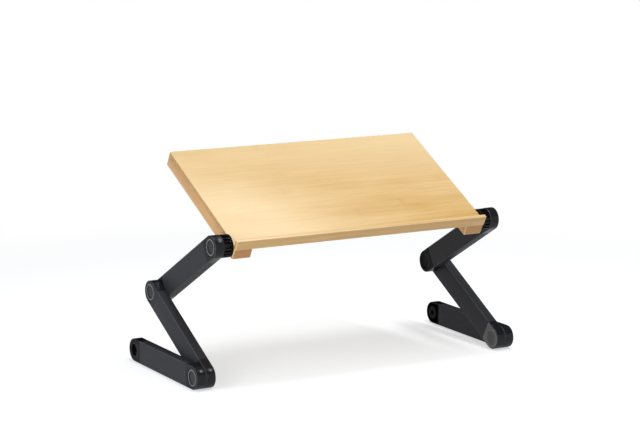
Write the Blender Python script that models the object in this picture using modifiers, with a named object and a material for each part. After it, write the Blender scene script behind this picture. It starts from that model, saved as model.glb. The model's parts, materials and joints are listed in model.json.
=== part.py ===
"""Laptop bed table: a tilted bamboo tray on two folding legs of flat black tube.

Each leg has three equal links in three layers side by side. A round hub joins the upper link to the
tray near its front edge. Each of the three joints in a leg is a pair of round housings with a sprung
push button, a toothed lock gear and a pivot bolt inside. Metres, +X along the hinge axes, +Y from the
user to the back, +Z up, with the origin on the floor under the middle of the table.
"""

import math

import bmesh
import bpy
from mathutils import Matrix, Vector

# Tray: a board with a lip along its front edge and a batten under each end
BOARD_WIDTH = 0.4825
BOARD_DEPTH = 0.260
BOARD_THICKNESS = 0.008
LIP_THICKNESS = 0.007
LIP_RISE = 0.010
BATTEN_WIDTH = 0.034
BATTEN_HEIGHT = 0.0195
BATTEN_SETBACK = 0.002
WOOD_ROUNDING = 0.0010
BATTEN_ROUNDING = 0.0022
ROUNDING_SEGMENTS = 2
AXIS_SETBACK = 0.015
TRAY_TILT = math.radians(27.2)

# Legs: links between joint axes, the rise of each over the floor, and the flat tube
LINK_PITCH = 0.216
LINK_WIDTH = 0.039
LINK_THICKNESS = 0.017
LAYER_GAP = 0.0003
EDGE_CHAMFER = 0.0013
TUBE_WALL = 0.0016
MIDDLE_RISE = math.radians(28.7)
UPPER_RISE = math.radians(30.0)

# Caps at the ends of a tube
SHOULDER_MARGIN = 0.0016
TONGUE_LENGTH = 0.024
TONGUE_WALL = 0.0025
FLOOR_THICKNESS = 0.004
BACK_DISH_RADIUS = 0.0138
BACK_DISH_DEPTH = 0.0009
REAR_POCKET_RADIUS = 0.010
REAR_POCKET_DEPTH = 0.004
REAR_BORE_RADIUS = 0.0045
REAR_BOSS_WALL = 0.0017
REAR_RIM = 0.0022
REAR_FLOOR = 0.003

# Hub between the upper link and the tray's side
HUB_FLOOR = 0.003
HUB_STEP = 0.0005
HUB_FLANGE = 0.0042
HUB_SLOTS = 18
hub_slot_width_share = 0.55
hub_slot_depth_share = 0.45

# Clearances: between touching pieces, and between a sliding or turning piece and its seat
SEAT_GAP = 0.0003
RUNNING_GAP = 0.0003
OVERRUN = 0.002

# Push button in the outer housing of a joint
BUTTON_RADIUS = 0.0143
BUTTON_RECESS = 0.0002
BUTTON_PLATE = 0.0036
BUTTON_DISH_RADIUS = 0.0112
BUTTON_DISH_DEPTH = 0.0016
BUTTON_SKIRT_WALL = 0.0016
BUTTON_EDGE = 0.0004
BUTTON_LEGS = 3
BUTTON_LEG_RADIUS = 0.0080
BUTTON_LEG_THICKNESS = 0.0015
BUTTON_LEG_WIDTH = 0.005
HOOK_THICKNESS = 0.0007
HOOK_REACH = 0.0009
WEB_THICKNESS = 0.0022

# Lock gear, which bridges the two housings until the button is pressed
GEAR_TEETH = 12
GEAR_ROOT_RADIUS = 0.0106
GEAR_TIP_RADIUS = 0.0126
GEAR_THICKNESS = 0.0065
GEAR_ENGAGEMENT = 0.0030
RELEASE_CLEARANCE = 0.00045
tooth_root_share = 0.56
tooth_tip_share = 0.36
CUT_BACK = 0.0012

# Pivot bolt and the spring round its boss
BOLT_RADIUS = 0.0020
BOLT_HEAD_RADIUS = 0.0042
BOLT_HEAD_HEIGHT = 0.0022
BOLT_SOCKET_RADIUS = 0.0016
BOLT_SOCKET_DEPTH = 0.0012
BOLT_BITE = 0.0015
BOSS_WALL = 0.0014
SPRING_RADIUS = 0.0047
SPRING_WIRE = 0.0010
SPRING_TURNS = 4
SPRING_POINTS_PER_TURN = 8

# Wood screws
SCREW_RADIUS = 0.0014
SCREW_HEAD_RADIUS = 0.0026
SCREW_HEAD_HEIGHT = 0.0014
SCREW_TIP = 0.003
SCREW_CROSS_WIDTH = 0.0007
SCREW_CROSS_DEPTH = 0.0006
screw_cross_share = 0.6
HUB_SCREW_LENGTH = 0.021
BATTEN_SCREW_LENGTH = 0.0235
BATTEN_SCREW_INSET = 0.055

# Faces round a circle
CAP_SEGMENTS = 12
ROUND_SEGMENTS = 24
SMALL_SEGMENTS = 10
WELD = 0.00001
SMOOTH_ANGLE = math.radians(35.0)

# Heights along a joint's axis, from the plane between its two housings
HALF_WIDTH = LINK_WIDTH / 2
HALF_GAP = LAYER_GAP / 2
FACE = HALF_GAP + LINK_THICKNESS
MID = HALF_GAP + LINK_THICKNESS / 2
SHOULDER = HALF_WIDTH + SHOULDER_MARGIN
BORE_DEPTH = LINK_THICKNESS - FLOOR_THICKNESS
BORE_FLOOR = -HALF_GAP - BORE_DEPTH
HUB_LENGTH = BORE_DEPTH + HUB_FLOOR
HUB_RADIUS = HALF_WIDTH - HUB_STEP
TRAVEL = GEAR_ENGAGEMENT + HALF_GAP + RELEASE_CLEARANCE
GEAR_TOP = HALF_GAP + GEAR_ENGAGEMENT
GEAR_BOTTOM = GEAR_TOP - GEAR_THICKNESS
HOOK_BOTTOM = GEAR_TOP + RUNNING_GAP
WEB_BOTTOM = HOOK_BOTTOM + HOOK_THICKNESS + RUNNING_GAP
WEB_TOP = WEB_BOTTOM + WEB_THICKNESS
HEAD_BOTTOM = WEB_TOP + RUNNING_GAP
HEAD_TOP = HEAD_BOTTOM + BOLT_HEAD_HEIGHT
BUTTON_TOP = FACE - BUTTON_RECESS
PLATE_BOTTOM = BUTTON_TOP - BUTTON_PLATE
SKIRT_BOTTOM = WEB_TOP + TRAVEL + RUNNING_GAP
BOSS_TOP = GEAR_BOTTOM - TRAVEL - RUNNING_GAP
BOLT_HOLE = BOLT_RADIUS + RUNNING_GAP
BOLT_END = BORE_FLOOR - BOLT_BITE
GEAR_TOOTH_STEP = 2 * math.pi / GEAR_TEETH
HUB_SCREW_CIRCLE = (SPRING_RADIUS + SPRING_WIRE / 2 + GEAR_ROOT_RADIUS) / 2

# Places across the table, outwards from its middle: the plane between the housings of each joint
TOP_JOINT_X = BOARD_WIDTH / 2 + SEAT_GAP + HUB_LENGTH + HALF_GAP
LAYER_PITCH = LINK_THICKNESS + LAYER_GAP
KNEE_JOINT_X = TOP_JOINT_X + LAYER_PITCH
FOOT_JOINT_X = KNEE_JOINT_X + LAYER_PITCH

# Heights of the tray's pieces over the top hinge axis, square to the board
BOARD_TOP = (BOARD_THICKNESS + BATTEN_HEIGHT) / 2
BOARD_BOTTOM = BOARD_TOP - BOARD_THICKNESS
BOARD_FRONT = -AXIS_SETBACK
BOARD_BACK = BOARD_FRONT + BOARD_DEPTH
LIP_FRONT = BOARD_FRONT - SEAT_GAP - LIP_THICKNESS
LIP_TOP = BOARD_TOP + LIP_RISE
BATTEN_FRONT = LIP_FRONT + BATTEN_SETBACK
BATTEN_TOP = BOARD_BOTTOM - SEAT_GAP
BATTEN_BOTTOM = BATTEN_TOP - BATTEN_HEIGHT


def clear_scene():
    """Remove whatever the scene holds."""
    for obj in list(bpy.data.objects):
        bpy.data.objects.remove(obj, do_unlink=True)


def new_collection(name):
    """A collection linked to the scene."""
    collection = bpy.data.collections.new(name)
    bpy.context.scene.collection.children.link(collection)
    return collection


def new_material(name, color, roughness, metallic=0.0):
    """A Principled material of one colour."""
    material = bpy.data.materials.new(name)
    material.use_nodes = True
    shader = material.node_tree.nodes["Principled BSDF"]
    shader.inputs["Base Color"].default_value = (*color, 1.0)
    shader.inputs["Roughness"].default_value = roughness
    shader.inputs["Metallic"].default_value = metallic
    material.diffuse_color = (*color, 1.0)
    return material


def arc(radius, start, end, segments):
    """Points on a circle about the origin, from angle start to angle end, both ends included."""
    step = (end - start) / segments
    return [polar(radius, start + i * step) for i in range(segments + 1)]


def circle(radius, segments=ROUND_SEGMENTS):
    """Points once round a circle."""
    return arc(radius, 0.0, 2 * math.pi, segments)[:-1]


def polar(radius, angle):
    """Point at a radius and an angle."""
    return (radius * math.cos(angle), radius * math.sin(angle))


def rectangle(x0, y0, x1, y1):
    """Four corners, anticlockwise."""
    return [(x0, y0), (x1, y0), (x1, y1), (x0, y1)]


def chamfered(half_x, half_y, cut):
    """A rectangle about the origin with its corners cut off."""
    inner_x = half_x - cut
    inner_y = half_y - cut
    return [
        (half_x, -inner_y),
        (half_x, inner_y),
        (inner_x, half_y),
        (-inner_x, half_y),
        (-half_x, inner_y),
        (-half_x, -inner_y),
        (-inner_x, -half_y),
        (inner_x, -half_y),
    ]


def toothed(root, tip, widening=0.0):
    """Outline of a toothed disc. The widening thickens each tooth by that angle on both flanks."""
    points = []
    for tooth in range(GEAR_TEETH):
        middle = tooth * GEAR_TOOTH_STEP
        half_root = GEAR_TOOTH_STEP * tooth_root_share / 2 + widening
        half_tip = GEAR_TOOTH_STEP * tooth_tip_share / 2 + widening
        points.append(polar(root, middle - half_root))
        points.append(polar(tip, middle - half_tip))
        points.append(polar(tip, middle + half_tip))
        points.append(polar(root, middle + half_root))
    return points


def cap_outline(inset=0.0, end=SHOULDER):
    """Half a disc about the joint's axis, carried straight to the shoulder."""
    radius = HALF_WIDTH - inset
    rounding = arc(radius, math.pi / 2, 3 * math.pi / 2, CAP_SEGMENTS)
    return [(end, radius), *rounding, (end, -radius)]


def mesh_from(obj):
    """Evaluated mesh of an object, welded and facing out. The object itself is removed."""
    bpy.context.view_layer.update()
    evaluated = obj.evaluated_get(bpy.context.evaluated_depsgraph_get())
    mesh = bpy.data.meshes.new_from_object(evaluated)
    mesh.name = obj.name
    bpy.data.objects.remove(obj, do_unlink=True)
    edit = bmesh.new()
    edit.from_mesh(mesh)
    bmesh.ops.remove_doubles(edit, verts=edit.verts, dist=WELD)
    bmesh.ops.recalc_face_normals(edit, faces=edit.faces)
    edit.to_mesh(mesh)
    edit.free()
    return mesh


def guide(name, data):
    """An object that holds a curve or a mesh only while it is worked on."""
    obj = bpy.data.objects.new(name, data)
    bpy.context.scene.collection.objects.link(obj)
    return obj


def plate(name, bottom, top, outline, *holes):
    """Flat piece between two heights, filled between its outline and its holes."""
    curve = bpy.data.curves.new(name, "CURVE")
    curve.dimensions = "2D"
    curve.fill_mode = "BOTH"
    curve.extrude = (top - bottom) / 2
    for loop in (outline, *holes):
        spline = curve.splines.new("POLY")
        spline.points.add(len(loop) - 1)
        for point, (x, y) in zip(spline.points, loop):
            point.co = (x, y, 0.0, 1.0)
        spline.use_cyclic_u = True
    mesh = mesh_from(guide(name, curve))
    mesh.transform(Matrix.Translation((0.0, 0.0, (top + bottom) / 2)))
    return mesh


def turned(name, profile, segments=ROUND_SEGMENTS):
    """Solid turned about Z, from (radius, height) points that run down its outer side."""
    mesh = bpy.data.meshes.new(name)
    points = [(radius, 0.0, height) for radius, height in profile]
    mesh.from_pydata(points, [(i, i + 1) for i in range(len(points) - 1)], [])
    obj = guide(name, mesh)
    screw = obj.modifiers.new("turn", "SCREW")
    screw.axis = "Z"
    screw.angle = 2 * math.pi
    screw.steps = segments
    screw.render_steps = segments
    screw.use_merge_vertices = True
    screw.merge_threshold = WELD
    return mesh_from(obj)


def box(name, low, high):
    """Box between two corners."""
    mesh = bpy.data.meshes.new(name)
    edit = bmesh.new()
    bmesh.ops.create_cube(edit, size=1.0)
    size = [b - a for a, b in zip(low, high)]
    middle = [(a + b) / 2 for a, b in zip(low, high)]
    bmesh.ops.scale(edit, vec=size, verts=edit.verts)
    bmesh.ops.translate(edit, vec=middle, verts=edit.verts)
    edit.to_mesh(mesh)
    edit.free()
    return mesh


def moved(mesh, matrix):
    """The mesh after a move or a turn."""
    mesh.transform(matrix)
    return mesh


def gathered(name, meshes):
    """Several separate meshes in one."""
    edit = bmesh.new()
    for mesh in meshes:
        edit.from_mesh(mesh)
    joined = bpy.data.meshes.new(name)
    edit.to_mesh(joined)
    edit.free()
    return joined


def bevelled(mesh, width, segments, chosen):
    """The mesh with the edges for which chosen(edge) is true rounded to a width."""
    edit = bmesh.new()
    edit.from_mesh(mesh)
    edges = [edge for edge in edit.edges if edge.calc_face_angle(0.0) > SMOOTH_ANGLE and chosen(edge)]
    bmesh.ops.bevel(
        edit,
        geom=edges,
        offset=width,
        offset_type="OFFSET",
        segments=segments,
        profile=0.5,
        affect="EDGES",
        clamp_overlap=True,
    )
    edit.to_mesh(mesh)
    edit.free()
    return mesh


def shaped(name, base, *steps):
    """The base mesh after each (operation, tool mesh) step, by exact Booleans."""
    obj = guide(name, base)
    for number, (operation, tool_mesh) in enumerate(steps):
        tool = bpy.data.objects.new(f"{name}_tool_{number}", tool_mesh)
        tool.hide_render = True
        tool.display_type = "WIRE"
        cutters.objects.link(tool)
        boolean = obj.modifiers.new(tool.name, "BOOLEAN")
        boolean.operation = operation
        boolean.solver = "EXACT"
        boolean.object = tool
    return mesh_from(obj)


def smooth(mesh):
    """Smooth shading with sharp edges kept."""
    mesh.shade_smooth()
    mesh.set_sharp_from_angle(angle=SMOOTH_ANGLE)
    return mesh


def add_frame(name, origin, x_axis, z_axis, parent=None):
    """An empty at a joint, with its X along the link and its Z outwards along the hinge axis."""
    y_axis = z_axis.cross(x_axis)
    world = Matrix((x_axis, y_axis, z_axis)).transposed().to_4x4()
    world.translation = origin
    frame = bpy.data.objects.new(name, None)
    frame.empty_display_size = HALF_WIDTH
    parts.objects.link(frame)
    if parent:
        frame.parent = parent
        frame.matrix_parent_inverse = parent_world[parent.name].inverted()
    frame.matrix_basis = world
    parent_world[name] = world
    return frame


def add_piece(name, mesh, material, frame, offset=(0.0, 0.0, 0.0)):
    """A named piece carried by a frame."""
    obj = bpy.data.objects.new(name, mesh)
    if not mesh.materials:
        mesh.materials.append(material)
    parts.objects.link(obj)
    obj.parent = frame
    obj.location = offset
    return obj


def cap_body(name, bottom):
    """Housing of a link's end with a hollow tongue for the tube, between bottom and one link thickness up."""
    top = bottom + LINK_THICKNESS
    middle = (bottom + top) / 2
    outer = plate(name, bottom, top, cap_outline())
    bevelled(outer, EDGE_CHAMFER, 1, lambda edge: not on_shoulder(edge) and is_level(edge))
    half_y = HALF_WIDTH - TUBE_WALL - SEAT_GAP
    half_z = LINK_THICKNESS / 2 - TUBE_WALL - SEAT_GAP
    tongue_end = SHOULDER + TONGUE_LENGTH
    tongue = lengthwise(name, SHOULDER - OVERRUN, tongue_end, chamfered(half_y, half_z, EDGE_CHAMFER))
    tongue.transform(Matrix.Translation((0.0, 0.0, middle)))
    hollow_low = (SHOULDER + TONGUE_WALL, TONGUE_WALL - half_y, middle + TONGUE_WALL - half_z)
    hollow_high = (tongue_end + OVERRUN, half_y - TONGUE_WALL, middle + half_z - TONGUE_WALL)
    return outer, (("UNION", tongue), ("DIFFERENCE", box(name, hollow_low, hollow_high)))


def on_shoulder(edge):
    """Whether an edge lies in the flat face that meets the tube."""
    return all(vert.co.x > SHOULDER - WELD for vert in edge.verts)


def is_level(edge):
    """Whether both ends of an edge are at one height."""
    return abs(edge.verts[0].co.z - edge.verts[1].co.z) < WELD


def lengthwise(name, start, end, outline, *holes):
    """A (Y, Z) outline carried along X from start to end."""
    mesh = plate(name, start, end, outline, *holes)
    cycle = Matrix(((0.0, 0.0, 1.0), (1.0, 0.0, 0.0), (0.0, 1.0, 0.0)))
    mesh.transform(cycle.to_4x4())
    return mesh


def cylinder(name, radius, bottom, top, segments=ROUND_SEGMENTS):
    """Round bar about the joint's axis."""
    return plate(name, bottom, top, circle(radius, segments))


def leg_tools(name, slack, bottom, top, hook):
    """The three posts of a button, or with slack the slots that they pass through."""
    inner = BUTTON_LEG_RADIUS - slack
    outer = BUTTON_LEG_RADIUS + BUTTON_LEG_THICKNESS + slack
    half = BUTTON_LEG_WIDTH / 2 + slack
    post = [(inner, bottom), (outer, bottom), (outer, top), (inner, top)]
    if hook:
        tip = outer + HOOK_REACH
        catch = bottom + HOOK_THICKNESS
        post = [(inner, bottom), (tip, bottom), (tip, catch), (outer, catch), (outer, top), (inner, top)]
    posts = []
    for number in range(BUTTON_LEGS):
        leg = plate(name, -half, half, post)
        leg.transform(Matrix.Rotation(math.pi / 2, 4, "X"))
        leg.transform(Matrix.Rotation(2 * math.pi * number / BUTTON_LEGS, 4, "Z"))
        posts.append(leg)
    return gathered(name, posts)


def outer_cap():
    """Outer housing: button pocket outside, toothed recess inside, and a web between them."""
    base, steps = cap_body("outer_cap", HALF_GAP)
    pocket_radius = BUTTON_RADIUS + RUNNING_GAP
    rim = FACE - BUTTON_EDGE
    pocket = turned(
        "button_pocket",
        [
            (0.0, FACE + OVERRUN),
            (pocket_radius + BUTTON_EDGE + OVERRUN, FACE + OVERRUN),
            (pocket_radius, rim),
            (pocket_radius, WEB_TOP),
            (0.0, WEB_TOP),
        ],
    )
    tip = GEAR_TIP_RADIUS + RUNNING_GAP
    flank = RUNNING_GAP / tip
    recess = plate("gear_recess", -OVERRUN, WEB_BOTTOM, toothed(tip, tip + CUT_BACK, flank))
    bolt_hole = cylinder("web_hole", BOLT_HOLE, 0.0, FACE, SMALL_SEGMENTS)
    slots = leg_tools("leg_slots", RUNNING_GAP, WEB_BOTTOM - RUNNING_GAP, WEB_TOP + RUNNING_GAP, False)
    cuts = [("DIFFERENCE", tool) for tool in (pocket, recess, bolt_hole, slots)]
    return smooth(shaped("outer_cap", base, *steps, *cuts))


def socket_steps(name):
    """Cuts and boss of the toothed bore in which a lock gear slides."""
    root = GEAR_ROOT_RADIUS + RUNNING_GAP
    tip = GEAR_TIP_RADIUS + RUNNING_GAP
    bore = plate(name, BORE_FLOOR, OVERRUN, toothed(root, tip, RUNNING_GAP / root))
    boss_radius = BOLT_HOLE + BOSS_WALL
    boss = cylinder(name, boss_radius, BORE_FLOOR - SEAT_GAP, BOSS_TOP, SMALL_SEGMENTS)
    hole = cylinder(name, BOLT_HOLE, BOLT_END - RUNNING_GAP, OVERRUN, SMALL_SEGMENTS)
    return (("DIFFERENCE", bore), ("UNION", boss), ("DIFFERENCE", hole))


def inner_cap():
    """Inner housing: toothed bore towards the next link, closed back with a shallow dish."""
    base, steps = cap_body("inner_cap", -FACE)
    dish = turned(
        "back_dish",
        [
            (0.0, BACK_DISH_DEPTH - FACE),
            (BACK_DISH_RADIUS - BACK_DISH_DEPTH, BACK_DISH_DEPTH - FACE),
            (BACK_DISH_RADIUS + OVERRUN, -FACE - OVERRUN),
            (0.0, -FACE - OVERRUN),
        ],
    )
    return smooth(shaped("inner_cap", base, *steps, *socket_steps("inner_bore"), ("DIFFERENCE", dish)))


def rear_cap():
    """Cap at the free end of the foot: outside a round pocket, inside a hollow round a bored boss."""
    base, steps = cap_body("rear_cap", HALF_GAP)
    pocket = cylinder("rear_pocket", REAR_POCKET_RADIUS, FACE - REAR_POCKET_DEPTH, FACE + OVERRUN)
    bore = cylinder("rear_bore", REAR_BORE_RADIUS, -OVERRUN, FACE)
    hollow = plate(
        "rear_hollow",
        -OVERRUN,
        FACE - REAR_FLOOR,
        cap_outline(REAR_RIM, SHOULDER - REAR_RIM),
        circle(REAR_POCKET_RADIUS + REAR_BOSS_WALL),
    )
    cuts = [("DIFFERENCE", tool) for tool in (pocket, bore, hollow)]
    return smooth(shaped("rear_cap", base, *steps, *cuts))


def tray_hub():
    """Round hub with slots round its rim, a toothed bore, and two screw holes in its floor."""
    back = -HALF_GAP - HUB_LENGTH
    body = cylinder("hub_body", HUB_RADIUS, back, -HALF_GAP, 2 * HUB_SLOTS)
    wall = HUB_RADIUS - GEAR_TIP_RADIUS - RUNNING_GAP
    groove = HUB_RADIUS - wall * hub_slot_depth_share
    step = 2 * math.pi / HUB_SLOTS
    half_slot = step * hub_slot_width_share / 2
    slots = []
    for number in range(HUB_SLOTS):
        middle = (number + 1 / 2) * step
        start = middle - half_slot
        end = middle + half_slot
        beyond = HUB_RADIUS + OVERRUN
        slot = [polar(groove, start), polar(groove, end), polar(beyond, end), polar(beyond, start)]
        slots.append(plate("hub_slot", back + HUB_FLANGE, OVERRUN, slot))
    holes = []
    for side in (-1, 1):
        hole = turned("hub_screw_hole", screw_profile(HUB_SCREW_LENGTH, RUNNING_GAP), SMALL_SEGMENTS)
        holes.append(moved(hole, Matrix.Translation((side * HUB_SCREW_CIRCLE, 0.0, BORE_FLOOR))))
    cuts = (("DIFFERENCE", gathered("hub_slots", slots)), ("DIFFERENCE", gathered("hub_holes", holes)))
    return smooth(shaped("tray_hub", body, *socket_steps("hub_bore"), *cuts))


def link_tube():
    """Flat tube with cut corners, open at both ends."""
    half_y = HALF_WIDTH
    half_z = LINK_THICKNESS / 2
    outside = chamfered(half_y, half_z, EDGE_CHAMFER)
    inside = chamfered(half_y - TUBE_WALL, half_z - TUBE_WALL, EDGE_CHAMFER)
    start = SHOULDER + SEAT_GAP
    tube = lengthwise("link_tube", start, LINK_PITCH - start, outside, inside)
    return moved(tube, Matrix.Translation((0.0, 0.0, MID)))


def push_button():
    """Dished round button with a skirt and three hooked posts that push the lock gear."""
    skirt_inner = BUTTON_RADIUS - BUTTON_SKIRT_WALL
    cup = turned(
        "button_cup",
        [
            (0.0, BUTTON_TOP - BUTTON_DISH_DEPTH),
            (BUTTON_DISH_RADIUS - BUTTON_DISH_DEPTH, BUTTON_TOP - BUTTON_DISH_DEPTH),
            (BUTTON_DISH_RADIUS, BUTTON_TOP),
            (BUTTON_RADIUS - BUTTON_EDGE, BUTTON_TOP),
            (BUTTON_RADIUS, BUTTON_TOP - BUTTON_EDGE),
            (BUTTON_RADIUS, SKIRT_BOTTOM),
            (skirt_inner, SKIRT_BOTTOM),
            (skirt_inner, PLATE_BOTTOM),
            (0.0, PLATE_BOTTOM),
        ],
    )
    posts = leg_tools("button_posts", 0.0, HOOK_BOTTOM, PLATE_BOTTOM + SEAT_GAP, True)
    return smooth(shaped("push_button", cup, ("UNION", posts)))


def lock_gear():
    """Toothed disc with a round bore for the pivot bolt."""
    outline = toothed(GEAR_ROOT_RADIUS, GEAR_TIP_RADIUS)
    return plate("lock_gear", GEAR_BOTTOM, GEAR_TOP, outline, circle(BOLT_HOLE, SMALL_SEGMENTS))


def pivot_bolt():
    """Bolt with a low round head and a six-sided socket."""
    body = turned(
        "bolt_body",
        [
            (0.0, HEAD_TOP),
            (BOLT_HEAD_RADIUS, HEAD_TOP),
            (BOLT_HEAD_RADIUS, HEAD_BOTTOM),
            (BOLT_RADIUS, HEAD_BOTTOM),
            (BOLT_RADIUS, BOLT_END),
            (0.0, BOLT_END),
        ],
        SMALL_SEGMENTS,
    )
    hexagon = circle(BOLT_SOCKET_RADIUS, 6)
    socket = plate("bolt_socket", HEAD_TOP - BOLT_SOCKET_DEPTH, HEAD_TOP + OVERRUN, hexagon)
    return smooth(shaped("pivot_bolt", body, ("DIFFERENCE", socket)))


def lock_spring():
    """Coil round the boss, from the bore's floor to the lock gear, as one unbroken wire."""
    wire_radius = SPRING_WIRE / 2
    bottom = BORE_FLOOR + SEAT_GAP + wire_radius
    rise = GEAR_BOTTOM - SEAT_GAP - wire_radius - bottom
    count = SPRING_TURNS * SPRING_POINTS_PER_TURN
    points = []
    for i in range(count + 1):
        x, y = polar(SPRING_RADIUS, 2 * math.pi * i / SPRING_POINTS_PER_TURN)
        points.append(Vector((x, y, bottom + rise * i / count)))
    curve = bpy.data.curves.new("lock_spring", "CURVE")
    curve.dimensions = "3D"
    curve.bevel_depth = wire_radius
    curve.bevel_resolution = 1
    curve.use_fill_caps = True
    spline = curve.splines.new("POLY")
    spline.points.add(count)
    for point, place in zip(spline.points, points):
        point.co = (*place, 1.0)
    report_least_gap("lock_spring", points, SPRING_WIRE, SPRING_POINTS_PER_TURN // 2)
    return smooth(mesh_from(guide("lock_spring", curve)))


def report_least_gap(name, points, diameter, apart):
    """Print the least gap between turns of a wire, measured between points that far apart on it."""
    pairs = ((a, b) for a in range(len(points)) for b in range(a + apart, len(points)))
    least = min((points[a] - points[b]).length for a, b in pairs) - diameter
    print(f"{name}: least gap to itself {least:.5f} m")


def screw_profile(length, slack=0.0):
    """(radius, height) points of a countersunk wood screw from its head at height 0 down to its tip."""
    head = SCREW_HEAD_RADIUS + slack
    shank = SCREW_RADIUS + slack
    lift = OVERRUN if slack else 0.0
    end = -length - slack
    top = [(0.0, lift), (head, lift)]
    if slack:
        top.append((head, -slack))
    return [*top, (shank, -SCREW_HEAD_HEIGHT - slack), (shank, end + SCREW_TIP), (0.0, end)]


def wood_screw(length):
    """Countersunk screw with a cross cut in its head."""
    body = turned("screw_body", screw_profile(length), SMALL_SEGMENTS)
    half = SCREW_CROSS_WIDTH / 2
    reach = SCREW_HEAD_RADIUS * screw_cross_share
    arms = []
    for quarter in range(4):
        for x, y in ((half, half), (reach, half), (reach, -half)):
            turn = Matrix.Rotation(-quarter * math.pi / 2, 2)
            arms.append(tuple(turn @ Vector((x, y))))
    cross = plate("screw_cross", -SCREW_CROSS_DEPTH, OVERRUN, arms)
    return smooth(shaped("wood_screw", body, ("DIFFERENCE", cross)))


def screw_turn(direction):
    """Turn that points a screw's tip along a direction in the tray's frame."""
    return Vector((0.0, 0.0, -1.0)).rotation_difference(Vector(direction)).to_matrix().to_4x4()


def batten_screw_depths():
    """Distances of the two screws of a batten behind the top hinge axis."""
    return (BATTEN_FRONT + BATTEN_SCREW_INSET, BOARD_BACK - BATTEN_SCREW_INSET)


def add_tray(frame):
    """Board, front lip, battens and the screws that hold them, in the tray's own frame."""
    half_board = BOARD_WIDTH / 2
    batten_middle = half_board - BATTEN_WIDTH / 2
    up = screw_turn((0.0, 0.0, 1.0))
    pilots = []
    for side in (-1, 1):
        for depth in batten_screw_depths():
            place = Matrix.Translation((side * batten_middle, depth, BATTEN_BOTTOM))
            pilot = turned("pilot", screw_profile(BATTEN_SCREW_LENGTH, RUNNING_GAP), SMALL_SEGMENTS)
            pilots.append(moved(pilot, place @ up))
    board = box("board", (-half_board, BOARD_FRONT, BOARD_BOTTOM), (half_board, BOARD_BACK, BOARD_TOP))
    bevelled(board, WOOD_ROUNDING, ROUNDING_SEGMENTS, lambda edge: True)
    board = shaped("board", board, ("DIFFERENCE", gathered("board_pilots", pilots)))
    add_piece("board", smooth(board), bamboo, frame)
    lip_low = (-half_board, LIP_FRONT, BOARD_BOTTOM)
    lip_high = (half_board, LIP_FRONT + LIP_THICKNESS, LIP_TOP)
    lip = bevelled(box("front_lip", lip_low, lip_high), WOOD_ROUNDING, ROUNDING_SEGMENTS, lambda edge: True)
    add_piece("front_lip", smooth(lip), bamboo, frame)
    screw = wood_screw(BATTEN_SCREW_LENGTH)
    for side, word in SIDES:
        outer = side * half_board
        inner = outer - side * BATTEN_WIDTH
        low = (min(outer, inner), BATTEN_FRONT, BATTEN_BOTTOM)
        high = (max(outer, inner), BOARD_BACK, BATTEN_TOP)
        batten = box(f"batten_{word}", low, high)
        bevelled(batten, BATTEN_ROUNDING, ROUNDING_SEGMENTS, is_lower_edge)
        drill = Matrix.Translation((side * TRAY_SIDE_HEAD_X, 0.0, 0.0)) @ screw_turn((-side, 0.0, 0.0))
        holes = []
        for depth in (-HUB_SCREW_CIRCLE, HUB_SCREW_CIRCLE):
            pilot = turned("hub_pilot", screw_profile(HUB_SCREW_LENGTH, RUNNING_GAP), SMALL_SEGMENTS)
            holes.append(moved(pilot, Matrix.Translation((0.0, depth, 0.0)) @ drill))
        steps = (("DIFFERENCE", gathered("batten_pilots", pilots)), ("DIFFERENCE", gathered("holes", holes)))
        add_piece(f"batten_{word}", smooth(shaped(batten.name, batten, *steps)), bamboo, frame)
        for place, depth in zip(("front", "rear"), batten_screw_depths()):
            piece = add_piece(f"batten_screw_{place}_{word}", screw, screw_steel, frame)
            piece.matrix_basis = Matrix.Translation((side * batten_middle, depth, BATTEN_BOTTOM)) @ up


def is_lower_edge(edge):
    """Whether an edge of a batten lies in its underside."""
    return all(vert.co.z < BATTEN_BOTTOM + WELD for vert in edge.verts)


def add_lock(word, place, frame):
    """Gear, spring and bolt of one joint, carried by its inner housing."""
    add_piece(f"lock_gear_{place}_{word}", meshes["lock_gear"], gear_steel, frame)
    add_piece(f"lock_spring_{place}_{word}", meshes["lock_spring"], spring_steel, frame)
    add_piece(f"pivot_bolt_{place}_{word}", meshes["pivot_bolt"], bolt_steel, frame)


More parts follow.
